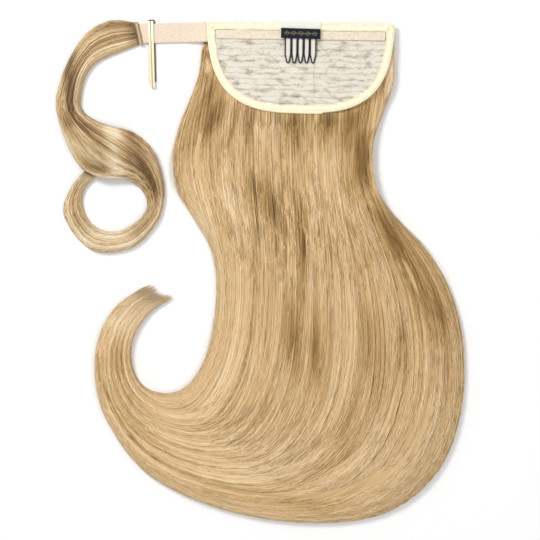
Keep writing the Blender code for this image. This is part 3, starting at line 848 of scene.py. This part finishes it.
fallLook = {
    "pieces": 4,
    "strokes": strokes,
    "strands": 800,
    "steps": 34,
    "locks": 46,
    "start": (0.0, 0.06),
    "end": (0.93, 1.0),
    "tips": 0.972,
    "relax": 3,  # rounds of smoothing along the strands, none at the outline
    "wisps": 11,
    "fray": 0.6 * mm,
    "drift": 0.16,
    "gather": 0.35,
    "wander": 0.0012,
    "layer": 0.5 * mm,
    "inset": 0.004,
    "beside": 0.1,
    "radius": (0.22 * mm, 0.38 * mm),
    "taper": 0.10,
    "tone": 0.44,
    "contrast": 0.12,
    "lockContrast": 0.05,
    "seed": 11,
}
lockLook = {
    "pieces": 1,
    "strokes": lockShadingStrokes,
    "strands": 760,
    "steps": 36,
    "locks": 22,
    "start": (0.0, 0.01),
    "end": (0.95, 1.0),
    "drift": 0.35,
    "gather": 0.1,
    "wander": 0.004,
    "layer": 0.7 * mm,
    "inset": 0.012,
    "beside": 0.12,
    "radius": (0.22 * mm, 0.36 * mm),
    "taper": 0.06,
    "tone": 0.5,
    "contrast": 0.13,
    "lockContrast": 0.12,
    "seed": 23,
}


def addHair(name, form, look, paint, facts):
    for number in range(look["pieces"]):
        piece = name + "Strands" + str(number + 1)
        rng = np.random.default_rng(look["seed"] + number)
        newPiece(piece, strandMesh(piece, *growHair(form, look, rng)), paint, **facts)


fallFacts = {"slot": "fall_hair", "replaces": "hair_fall"}
lockFacts = {"slot": "lock_hair", "replaces": "wrap_lock"}
fallForm = HairForm(fallRows(), fall["edge"], fall["locks"], fall["groove"], hairCeiling, 5, straight=3)
lockForm = HairForm(lockRows(), wrap["edge"], wrap["locks"], wrap["groove"], None, 6)
newPiece("fallBody", hairBody("fallBody", fallForm, 170, end=0.978), blondeBody, **fallFacts)
addHair("fall", fallForm, fallLook, blondeHair, fallFacts)
print("fall of hair")
newPiece("lockBody", hairBody("lockBody", lockForm, 150, 56, 12, 1.0 * mm), honeyBody, **lockFacts)
addHair("lock", lockForm, lockLook, honeyHair, lockFacts)
print("wrap lock")

# Tufts that stand out beside the cap: two sides and a height, in millimetres right and down from the
# middle of the cap's edge
tuftRows = [
    (68.6, 21.9, 77.1, 21.9, 10),
    (67.4, 42.7, 77.6, 42.7, 10),
    (65.7, 56.8, 75.1, 55.9, 9),
    (65.7, 66.7, 70.8, 67.1, 7),
    (67.4, 72.9, 68.2, 73.8, 4),
]
tuftLook = dict(fallLook, pieces=1, strands=150, steps=14, locks=3, start=(0.0, 0.1), end=(0.75, 1.0))
tuftLook.update(tips=None, taper=0.3, gather=0.3, tone=0.5, seed=71, strokes=[(64, 50, 66, 72, 2.5, -0.3)])
# under the strap, at the cap's left corner
cornerRows = [
    (-80.4, 14, -74, 14, 1),
    (-80.8, 18.5, -74, 18.5, 1.3),
    (-81.4, 25, -73, 25, 5),
    (-82.4, 36, -72, 36, 10),
    (-84.6, 47, -74, 47, 13.5),
]
cornerLook = dict(tuftLook, strands=120, start=(0.0, 0.05), end=(0.8, 1.0), tone=0.4, seed=83)
cornerLook["strokes"] = [(-79.5, 20, -83, 42, 0.6, 0.25)]


def addTuft(name, table, edge, seed, look):
    rows = [
        (capTop.x + ax * mm, capTop.y - ay * mm, capTop.x + bx * mm, capTop.y - by * mm, 0, high * mm, 0)
        for ax, ay, bx, by, high in table
    ]
    form = HairForm(rows, edge, 2, 0.1, hairCeiling, seed)
    addHair(name, form, look, blondeHair, fallFacts)


addTuft("tuft", tuftRows, 2.4 * mm, 8, tuftLook)
addTuft("corner", cornerRows, 0.9 * mm, 12, cornerLook)

flyaway = {
    "hairs": 26,
    "steps": 30,
    "start": (0.12, 0.4),  # shares of the fall's length
    "length": (0.08, 0.2),
    "out": (0.004, 0.02),  # how far they bow out, as shares of the fall's width
    "left": 0.7,  # share of them that is on the left
    "inset": 0.004,
    "radius": 0.11 * mm,
    "tone": 0.8,
    "seed": 97,
}


def addFlyaways():
    # single hairs that bow out from the fall's two sides
    rng = np.random.default_rng(flyaway["seed"])
    count = flyaway["hairs"]
    t = np.linspace(0, 1, flyaway["steps"])[None, :]
    bow = np.sin(np.pi * t)
    start = rng.uniform(*flyaway["start"], count)[:, None]
    s = start + rng.uniform(*flyaway["length"], count)[:, None] * t
    out = rng.uniform(*flyaway["out"], count)[:, None] * bow - flyaway["inset"]
    left = (rng.random(count) < flyaway["left"])[:, None]
    paths = fallForm.place(s, np.where(left, -out, 1 + out), 0.6, 0.4 * mm)
    radii = np.broadcast_to(flyaway["radius"] * (0.4 + 0.6 * bow), s.shape)
    facts = np.stack([np.full_like(s, flyaway["tone"]), s, np.zeros_like(s)], -1)
    newPiece("flyaways", strandMesh("flyaways", paths, radii, facts), blondeHair, **fallFacts)


addFlyaways()
print("hair done")


# The cap


def capOutline(count, inset=0.0):
    # evenly spaced places round the cap's edge, as (x, depth), and the way inwards at each
    straight, curved = 200, 400  # steps
    places = [(capWidth * (k / straight - 0.5), 0.0) for k in range(straight)]
    for k in range(curved + 1):
        angle = math.pi * k / curved
        share = math.sin(angle) ** (2 / cap["roundness"])
        places.append((halfWidth(share) * (1 if angle < math.pi / 2 else -1), cap["depth"] * share))
    places = np.array(places)
    reach = np.concatenate([[0], np.cumsum(np.linalg.norm(np.diff(places, axis=0), axis=1))])
    even = np.linspace(0, reach[-1], count, endpoint=False)
    places = np.stack([np.interp(even, reach, side) for side in places.T], -1)
    blur = max(int(cap["corner"] / (reach[-1] / count)), 1)
    places = sum(np.roll(places, k, axis=0) for k in range(-blur, blur + 1)) / (2 * blur + 1)
    way = np.roll(places, -1, axis=0) - np.roll(places, 1, axis=0)
    way /= np.linalg.norm(way, axis=1, keepdims=True)
    inwards = np.stack([-way[:, 1], way[:, 0]], -1)
    return places + inwards * inset, inwards


def ruffle(places, scale, seed):
    # smooth noise between -1 and 1 at each place
    return np.array([noise.noise(Vector((x * scale, y * scale, 2 * seed))) for x, y in places])


def clothPaint(name, colour, shade, pitch=0.6, mottle=2.2, amount=0.5, roughness=0.9, depth=0.5):
    # woven cloth: threads both ways, and a mottle of the darker colour
    paint = Paint(name, roughness=roughness, shine=0.2, sheen=0.15)
    x, y, _ = paint.parts(paint.fact("cloth"))
    turn = 2 * math.pi / pitch
    weave = (x * turn).sine() * (y * turn).sine() * 0.5 + 0.5
    spots = paint.grain(paint.fact("cloth"), 1 / mottle, 4.0, 0.65)
    tone = (spots * 2.0 - 0.7) * amount + weave * 0.18
    stops = [(0.0, linear(*colour)), (1.0, linear(*shade))]
    paint.set("Base Color", paint.ramp(tone, stops))
    paint.bump(weave * 0.6 + spots * 0.4, depth, 0.0004)
    return paint


def netPaint():
    # crinkled lace over wefts: grey lines across, crinkles with painted shade in their folds, lace holes and
    # specks
    paint = Paint("lace", roughness=0.92, shine=0.15)
    place = paint.fact("cloth")
    x, depth, _ = paint.parts(place)
    slow = paint.grain(paint.stretched(place, (0.05, 0.12, 1)), 1.0, 2.0)
    uneven = paint.grain(paint.stretched(place, (0.08, 0.4, 1)), 1.0, 3.0, 0.6)
    rows = ((depth + slow * 7.0) * (2 * math.pi / 5.0)).sine() * 0.5 + 0.5
    rows = rows ** 3.0 * (uneven * 3.0 - 0.9).clear(0.0, 1.0)
    crinkle = paint.grain(paint.stretched(place, (0.55, 0.75, 1)), 1.0, 6.0, 0.75)
    # darker lines along the crinkles: painted shade in their folds
    wrinkle = (1.0 - (crinkle - 0.5).fold() * 11.0).clear(0.0, 1.0)
    patch = paint.grain(paint.stretched(place, (0.10, 0.2, 1)), 1.0, 4.0, 0.6).clear(0.46, 0.7)
    # a darker oval near the rim's middle
    darkOval = ((x + 3.6) ** 2.0 / 22.0 + (depth - 61.5) ** 2.0 / 9.0).clear(0.3, 1.3)
    seam = ((x - 13.0 + slow * 3.0) / 1.1).fold().clear(0.2, 1.0)
    holes = paint.grain(place, 1.15, 4.0, 0.8)
    specks = paint.grain(place, 0.8, 1.0).clear(0.73, 0.8)
    tone = rows * 0.26 + wrinkle * (patch * 0.3 + 0.08) + patch * 0.16 + (holes - 0.4) * 1.5
    tone = tone + specks * 0.4 + (1.0 - darkOval) * 0.2 + (1.0 - seam) * 0.1
    stops = [(0.0, linear(240, 235, 223)), (0.25, linear(221, 214, 199))]
    stops += [(0.55, linear(188, 179, 162)), (1.0, linear(124, 111, 92))]
    paint.set("Base Color", paint.ramp(tone, stops))
    paint.bump(holes * 0.7 - wrinkle * patch * 0.4 - rows * 0.4, 0.7, 0.0005)
    return paint


lace = netPaint()
creamTape = clothPaint("creamTape", (255, 251, 222), (244, 226, 178), 0.7, 2.6, 0.42)
bandCloth = clothPaint("bandCloth", (240, 231, 215), (216, 188, 160), 0.6, 3.4, 0.9)
ribbonCloth = clothPaint("ribbonCloth", (238, 242, 230), (208, 214, 200), 0.7, 1.6, 0.4)
labelCloth = clothPaint("labelCloth", (24, 26, 46), (10, 11, 24), 0.5, 2.0, 0.5, 0.75)
strapCloth = clothPaint("strapCloth", (246, 230, 212), (206, 180, 152), 0.9, 1.3, 1.0)
weftCloth = clothPaint("weftCloth", (188, 158, 112), (112, 84, 48), 0.6, 1.4, 1.1)

stitchTan = clothPaint("stitchTan", (226, 178, 118), (192, 134, 76), 0.3, 1.0, 0.5)
stitchWhite = clothPaint("stitchWhite", (240, 234, 220), (206, 190, 160), 0.3, 1.0, 0.5)
stitchYellow = clothPaint("stitchYellow", (244, 234, 176), (220, 204, 130), 0.3, 1.0, 0.5)
goldThread = clothPaint("goldThread", (176, 168, 120), (130, 122, 82), 0.3, 1.0, 0.5, 0.5)

net = {
    "inset": 1.1 * mm,
    "across": 150,
    "down": 84,
    "ribPitch": 4.6 * mm,
    "ribHeight": 0.4 * mm,
    "ribsFrom": 15 * mm,  # down from the straight edge
    "crinkle": 0.12 * mm,
    "highest": 0.5 * mm,
}


def makeNet():
    # a D-shaped sheet with crossways ribs over the wefts, and crinkles between them
    length = cap["depth"] - 2 * net["inset"]
    bm = bmesh.new()
    cloth = bm.verts.layers.float_vector.new("cloth")
    bmesh.ops.create_grid(bm, x_segments=net["across"], y_segments=net["down"], size=1)
    for vert in bm.verts:
        share = min(1 - ((1 + vert.co.y) / 2) ** 1.3, 0.994)  # finer towards the rim
        half = halfWidth(share) - net["inset"]
        x = vert.co.x * half
        depth = net["inset"] + length * share
        inside = min((half - abs(x)) / cap["binding"], (cap["depth"] - depth) / cap["binding"], 2) - 1
        crinkle = noise.fractal(Vector((x / (4 * mm), depth / (2.6 * mm), 3)), 0.8, 2.2, 3)
        sway = 2 * noise.noise(Vector((x * 60, depth * 60, 9)))
        rib = 0.5 + 0.5 * math.sin(2 * math.pi * depth / net["ribPitch"] + sway)
        height = net["crinkle"] * crinkle + net["ribHeight"] * rib * (depth > net["ribsFrom"])
        vert.co = (x, depth, cap["net"] / 2 + min(max(inside, 0) * height, net["highest"]))
        vert[cloth] = (x / mm, depth / mm, 0)
    under = bmesh.ops.extrude_face_region(bm, geom=bm.faces[:])["geom"]
    for item in under:
        if isinstance(item, bmesh.types.BMVert):
            item.co.z = -cap["net"] / 2
    for vert in bm.verts:
        vert.co = onCap([vert.co])[0]
    area = sum(face.calc_area() for face in bm.faces) / 2
    mesh = meshFrom(bm, "lace_net", sharp=60)
    piece = newPiece("lace_net", mesh, lace, slot="net", replaces="cap_foundation")
    flat = (capWidth, cap["depth"])
    area = min(area, 0.99 * flat[0] * flat[1])


binding = {
    "places": 420,
    "pucker": 0.16 * mm,
    "ripple": 0.1 * mm,  # in waves along its width
    "sway": 0.5 * mm,  # of its inner edge
    "wobble": 0.12 * mm,
    "lap": 0.9 * mm,  # how far the tape's end stands out past its beginning
    "lapFrom": 40 * mm,
    "lapAt": 18.8 * mm,  # across from the cap's middle
}


def makeBinding():
    places, inwards = capOutline(binding["places"])
    half = cap["half"]
    slot = cap["net"] / 2 + cap["gap"]
    # round its section: how far in from the outline, in millimetres of a 6.5 mm tape, and how high
    profile = [(3.2, -half), (1.2, -half), (0.35, -half * 0.82), (0.0, -half * 0.35), (0.0, half * 0.35)]
    profile += [(0.35, half * 0.82), (1.2, half), (2.4, half), (3.6, half), (4.8, half)]
    profile += [(5.9, half * 0.97), (6.5, half * 0.8), (6.5, slot), (3.5, slot), (0.8, slot)]
    profile += [(0.8, -slot), (3.5, -slot), (6.5, -slot), (6.5, -half), (5.0, -half)]
    rings = np.zeros((len(places), len(profile), 3))
    pucker = ruffle(places, 420, 2) * binding["pucker"]
    sway = ruffle(places, 90, 7) * binding["sway"]
    wobble = ruffle(places, 260, 11) * binding["wobble"]
    lap = np.clip((places[:, 0] + binding["lapFrom"]) / (binding["lapFrom"] + binding["lapAt"]), 0, 1)
    lap *= (places[:, 0] < binding["lapAt"]) * (places[:, 1] > cap["depth"] * 0.6) * binding["lap"]
    for k, (distance, height) in enumerate(profile):
        move = sway * (distance > 4) + wobble - lap * (distance < 5)
        rings[:, k, :2] = places + inwards * (distance * cap["binding"] / 6.5 + move)[:, None]
        top = height > slot and 1 < distance < 6.4
        rings[:, k, 2] = height + (pucker + binding["ripple"] * math.sin(distance * 2.2)) * top
    mesh = sweep("binding_tape", onCap(rings), True, 50)
    newPiece("binding_tape", mesh, creamTape, slot="binding", replaces="edge_binding")


def stitches(name, points, up, paint, length, width, slot, skip=0.0, seed=1):
    # short raised threads along a line, some of them skipped: one small round form for each
    rng = np.random.default_rng(seed)
    bm = bmesh.new()
    bm.verts.layers.float_vector.new("cloth")
    up = Vector(up)
    shape = Matrix.Diagonal((length / 2, width / 2, width * 0.42, 1)) @ Matrix.Rotation(math.pi / 2, 4, "Y")
    for here, there in zip(points, points[1:]):
        if rng.random() < skip:
            continue
        way = Vector(there - here).normalized()
        side = up.cross(way).normalized()
        turned = Matrix((way, side, way.cross(side))).transposed().to_4x4()
        middle = Vector((here + there) / 2) + side * rng.normal(0, 0.08 * mm)
        place = Matrix.Translation(middle) @ turned @ shape
        bmesh.ops.create_uvsphere(bm, u_segments=6, v_segments=4, radius=1, matrix=place)
    newPiece(name, meshFrom(bm, name), paint, slot=slot)


def acrossCap(half, depth, height, count):
    # a line of places straight across the cap
    return onCap([(x, depth, height) for x in np.linspace(-half, half, count)])


def makeCapStitches():
    top = cap["half"] + 0.12 * mm
    rows = [("stitches_inner", 5.7 * mm, 180, 0.15), ("stitches_outer", 1.5 * mm, 190, 0.35)]
    for name, inset, count, skip in rows:
        places, _ = capOutline(count, inset)
        line = onCap(np.concatenate([places, np.full((count, 1), top)], axis=1))
        stitches(name, line, capUp, stitchTan, 1.25 * mm, 0.55 * mm, "binding", skip, 4)


def tapeOnCap(name, half, start, width, level, thickness, paint, slot, node, turn=0.0, wave=0.0):
    # a tape that lies across the cap, rounded at its edges, with a narrower and thinner ring at each end
    steps = max(int(2 * half / (1.2 * mm)), 8)
    profile = tapeProfile(width, thickness, 10)
    middle = start + width / 2
    rings = np.zeros((steps + 3, len(profile), 3))
    for k in range(steps + 3):
        x = half * (2 * min(max((k - 1) / steps, 0), 1) - 1)
        end = {0: -1, steps + 2: 1}.get(k, 0)
        rings[k, :, 0] = x + end * 0.15 * mm
        rings[k, :, 1] = middle + profile[:, 0] * (0.97 if end else 1) - math.tan(turn) * x
        rings[k, :, 2] = level + thickness / 2 + profile[:, 1] * (0.5 if end else 1)
        rings[k, :, 2] += wave * noise.noise(Vector((x * 220, middle * 100, 4)))
    newPiece(name, sweep(name, onCap(rings), False, 50), paint, slot=slot, replaces=node)


comb = {
    "ribbonWidth": 33.5 * mm,
    "ribbonDepth": 12.6 * mm,
    "labelWidth": 32.5 * mm,
    "labelDepth": 8.6 * mm,
    "labelStart": 5.4 * mm,
    "labelTurn": -1.2,  # degrees
    "level": 2.0 * mm,  # of the ribbon's underside over the cap's middle
    "lozenges": 5,
}


def makeBandAndLabel():
    start = cap["binding"] + cap["gap"]
    end = start + cap["band"]
    half = halfWidth(end / cap["depth"]) - cap["binding"] - 2 * cap["gap"]
    top = cap["net"] / 2 + cap["gap"]
    tapeOnCap("band_tape", half, start, cap["band"], top, 0.8 * mm, bandCloth, "band", "top_band",
              wave=0.12 * mm)
    line = acrossCap(half, end + 0.2 * mm, top + 0.7 * mm, 70)
    stitches("stitches_band", line, capUp, stitchTan, 1.5 * mm, 0.5 * mm, "band", 0.2, 9)

    half, level = comb["ribbonWidth"] / 2, comb["level"]
    width = comb["ribbonDepth"]
    tapeOnCap("ribbon_loop", half, 0, width, level, 0.6 * mm, ribbonCloth, "ribbon", "comb_ribbon")
    line = acrossCap(half, comb["labelStart"] - 0.3 * mm, level + 0.7 * mm, 26)
    stitches("stitches_ribbon", line, capUp, stitchYellow, 1.0 * mm, 0.7 * mm, "ribbon", 0.0, 5)

    half, start, width = comb["labelWidth"] / 2, comb["labelStart"], comb["labelDepth"]
    level = comb["level"] + 1.9 * mm
    turn = math.radians(comb["labelTurn"])
    tapeOnCap("label_cloth", half, start, width, level, 0.7 * mm, labelCloth, "label", "comb_label", turn)
    # a plain row of lozenges in gold thread
    points = []
    for k in range(comb["lozenges"]):
        x = (k / (comb["lozenges"] - 1) - 0.5) * comb["labelWidth"] * 0.72
        y = start + width / 2 - math.tan(turn) * x
        for a, b in ((-2.2, 0), (0, -1.9), (2.2, 0), (0, 1.9), (-2.2, 0), (2.2, 0)):
            points.append((x + a * mm, y + b * mm, level + 0.75 * mm))
    stitches("label_lozenges", onCap(points), capUp, goldThread, 2.9 * mm, 0.34 * mm, "label", 0.0, 3)


strap = {
    "width": 16.2 * mm,
    "thickness": 1.2 * mm,
    "tab": 6.0 * mm,  # under the binding
    "flatShare": 0.62,  # of its length that lies flat before it rises to the cap
    "level": 1.4 * mm,
    "gap": 0.3 * mm,
    "steps": 66,
    "tabSteps": 6,
}


def makeStrap():
    corner = onCap([(-capWidth / 2, 0, 0)])[0]
    root = Vector((corner[0], corner[1] - strap["width"] / 2 - strap["gap"]))
    tabHeight = -cap["half"] - strap["gap"] - strap["thickness"]
    profile = tapeProfile(strap["width"], strap["thickness"], 14)
    rings = []
    for k in range(strap["steps"] + strap["tabSteps"] + 1):
        t = min(k / strap["steps"], 1)
        tab = max(k - strap["steps"], 0) / strap["tabSteps"] * strap["tab"]
        middle = strapEnd.lerp(root, t)
        rise = max(t - strap["flatShare"], 0) / (1 - strap["flatShare"])
        rise = rise * rise * (3 - 2 * rise)
        slant = (1 - t) * wrap["slant"] / wrap["weftLength"]
        wobble = noise.noise(Vector((k * 0.31, 2, 5))) / 80
        for across, up in profile:
            y = middle.y - across * (1 + wobble)
            slope = capTop.z + (capTop.y - y) * math.tan(capSlope) + tabHeight / math.cos(capSlope)
            z = strap["level"] + (slope - strap["level"]) * rise + strap["thickness"] / 2 + up
            rings.append((middle.x + across * slant + tab, y, z))
    rings = np.array(rings).reshape(-1, len(profile), 3)
    mesh = sweep("strap_tape", rings, False, 50)
    piece = newPiece("strap_tape", mesh, strapCloth, slot="strap", replaces="hook_strap")


weft = {
    "thickness": 1.6 * mm,
    "pinch": 0.06,  # how much narrower it is between its gathers
    "steps": 40,
    "turns": 28,  # of the thread wound along it
    "turnWidth": 0.9 * mm,
}


def makeWeft():
    # the folded tape that the wrap lock is sewn into, with a thread wound along it
    low, high = corners("wrap_weft")
    middleX = strapEnd.x + wrap["weftOverlap"] - wrap["weft"] / 2
    slant = wrap["slant"] / wrap["weftLength"]
    steps = weft["steps"]
    profile = tapeProfile(wrap["weft"], weft["thickness"], 8, 5)
    rings = np.zeros((steps + 1, len(profile), 3))
    for k in range(steps + 1):
        y = wrap["weftLength"] * (0.5 - k / steps)
        pinch = 1 - weft["pinch"] * (0.5 + 0.5 * math.cos(math.pi * k / 2))
        rings[k, :, 0] = middleX - y * slant + profile[:, 0] * pinch
        rings[k, :, 1] = strapEnd.y + y
        rings[k, :, 2] = (low.z + high.z) / 2 + profile[:, 1]
    newPiece("weft_tape", sweep("weft_tape", rings, False, 50), weftCloth, slot="weft", replaces="wrap_weft")
    points = []
    for k in range(weft["turns"]):
        y = wrap["weftLength"] * 0.96 * (0.5 - k / (weft["turns"] - 1))
        x = middleX - y * slant + (weft["turnWidth"] if k % 2 else -weft["turnWidth"])
        points.append((x, strapEnd.y + y, high.z + 0.05 * mm))
    stitches("weft_thread", np.array(points), (0, 0, 1), stitchWhite, 2.0 * mm, 0.36 * mm, "weft", 0.0, 5)


pin = {
    "foot": (-90.6 * mm, 209.0 * mm),
    "turn": 1.35,  # degrees
    "width": 4.3 * mm,
    "backHeight": 1.0,  # millimetres up to the top of the leg behind the strap
}


def pinPaint():
    # pale gold, painted highlights on its two flutes, painted shade in the groove between them, at its
    # edges, on the back leg and at the bend
    paint = Paint("paleGold", roughness=0.34, metallic=0.3)
    x, y, z = paint.parts(paint.place())
    turn = math.radians(pin["turn"])
    across = (x - pin["foot"][0]) * math.cos(turn) + (y - pin["foot"][1]) * math.sin(turn)
    along = (y - pin["foot"][1]) * math.cos(turn) - (x - pin["foot"][0]) * math.sin(turn)
    groove = 1.0 - (across.fold() / mm).clear(0.25, 0.6)
    edge = (across.fold() / (pin["width"] / 2)).clear(0.8, 1.0)
    bend = (along / mm).clear(-1.6, -0.6)
    under = 1.0 - (z / mm).clear(pin["backHeight"], pin["backHeight"] + 0.4)
    brush = paint.grain(paint.stretched(paint.place(), (9000, 120, 9000)), 1.0, 1.0)
    # painted shade in the groove, at the edges, at the bend and on the back leg under the strap, with a
    # little brushed grain
    paintedShadeAndGrain = groove * 0.6 + edge * 0.22 + bend * 0.95 + under * 0.8 + brush * 0.05
    stops = [(0.0, linear(246, 240, 204)), (0.25, linear(226, 216, 168))]
    stops += [(0.5, linear(168, 156, 112)), (1.0, linear(62, 54, 42))]
    paint.set("Base Color", paint.ramp(paintedShadeAndGrain, stops))
    return paint


def makePin():
    bm = bmesh.new()
    bm.from_mesh(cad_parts["hairpin"].data)
    bmesh.ops.remove_doubles(bm, verts=bm.verts[:], dist=1e-6)
    bmesh.ops.dissolve_limit(bm, angle_limit=math.radians(2), verts=bm.verts[:], edges=bm.edges[:])
    sharp = math.radians(35)
    edges = [edge for edge in bm.edges if len(edge.link_faces) == 2 and edge.calc_face_angle(0) > sharp]
    bmesh.ops.bevel(bm, geom=edges, offset=0.12 * mm, segments=2, profile=0.5, affect="EDGES",
                    material=-1, clamp_overlap=True)
    mesh = meshFrom(bm, "pin_metal", sharp=40)
    newPiece("pin_metal", mesh, pinPaint(), body="pin", slot="pin", replaces="hairpin")


def lacquer():
    paint = Paint("blackLacquer", roughness=0.45, shine=0.3)
    chips = paint.grain(paint.place(), 900, 3.0)
    paint.set("Base Color", paint.mix(chips, linear(14, 14, 17), linear(34, 33, 36)))
    paint.set("Roughness", chips * 0.3 + 0.22)
    return paint


teeth = {
    "count": 5,
    "pitch": 5.08 * mm,
    "wire": 1.05 * mm,
    "apart": 0.85 * mm,
    "head": 5.6 * mm,
    "reach": 20.0 * mm,
    "taper": 7.2 * mm,
    "tipRadius": 1.0 * mm,
    "high": 3.0 * mm,  # of the wire over the cap's middle, under the label
    "low": 1.55 * mm,  # and at the tips
    "film": 0.25 * mm,
    "filmInset": 0.55 * mm,
    "filmDrop": 0.3 * mm,
}


def makeComb():
    # one bent wire, down and up each tooth, with a pale film inside each tooth
    labelEnd = comb["labelStart"] + comb["labelDepth"]
    tip = labelEnd + teeth["reach"]
    taper = tip - teeth["taper"]
    radius = teeth["tipRadius"]
    bend = tip - radius
    head = labelEnd - teeth["head"]
    last = teeth["count"] - 1
    route, films = [], []

    def level(depth):
        share = max(depth - labelEnd, 0) / teeth["reach"]
        return teeth["high"] + (teeth["low"] - teeth["high"]) * share

    for tooth in range(teeth["count"]):
        left = (tooth - teeth["count"] / 2) * teeth["pitch"]
        start = left + (teeth["apart"] / 2 if tooth else 0)
        end = left + teeth["pitch"] - (teeth["apart"] / 2 if tooth < last else 0)
        middle = (start + end) / 2
        side = [head, labelEnd, (labelEnd + taper) / 2, taper]
        route += [(start, depth) for depth in side]
        for angle in np.linspace(0, math.pi, 9):
            route.append((middle - radius * math.cos(angle), bend + radius * math.sin(angle)))
        route += [(end, depth) for depth in reversed(side)]
        films.append(((end - start) / 2 - teeth["filmInset"], middle))
    points = onCap([(x, depth, level(depth)) for x, depth in route])
    wire = bpy.data.curves.new("combWire", "CURVE")
    wire.dimensions = "3D"
    wire.bevel_depth = teeth["wire"] / 2
    wire.bevel_resolution = 2
    wire.use_fill_caps = True
    spline = wire.splines.new("POLY")
    spline.points.add(len(points) - 1)
    spline.points.foreach_set("co", np.hstack([points, np.ones((len(points), 1))]).ravel())
    bm = bmesh.new()
    bm.from_mesh(curveMesh(wire))
    bmesh.ops.remove_doubles(bm, verts=bm.verts[:], dist=1e-7)
    newPiece("comb_wire", meshFrom(bm, "comb_wire"), lacquer(), slot="comb_wire", replaces="wire_comb")
    film = clothPaint("paleFilm", (236, 232, 222), (200, 194, 180), 0.5, 2.0, 0.4, 0.6)
    for number, (wide, middle) in enumerate(films):
        rings = []
        for depth in np.linspace(labelEnd - 1 * mm, bend, 14):
            narrow = max(depth - taper, 0) / (bend - taper)
            half = wide * (1 - narrow) + (radius - teeth["filmInset"]) * narrow
            height = level(depth) - teeth["filmDrop"]
            profile = tapeProfile(2 * half, teeth["film"], 4, 2)
            rings.append([(middle + across, depth, height + up) for across, up in profile])
        name = "comb_film_" + str(number + 1)
        newPiece(name, sweep(name, onCap(np.array(rings)), False, 50), film, slot="comb_wire")
    # the stray end of a thread beside the last tooth: across from the comb's side and down, in millimetres
    side = teeth["count"] * teeth["pitch"] / 2
    stray = [(0.5, 22.6), (1.3, 23.0), (2.2, 23.5), (3.1, 23.4)]
    loop = onCap([(side + a * mm, b * mm, 1.7 * mm) for a, b in stray])
    stitches("stray_thread", loop, capUp, lacquer(), 1.3 * mm, 0.4 * mm, "comb_wire", 0.0, 2)


makeNet()
makeComb()
makeBinding()
makeCapStitches()
makeBandAndLabel()
makeStrap()
makeWeft()
makePin()
print("cap and strap")
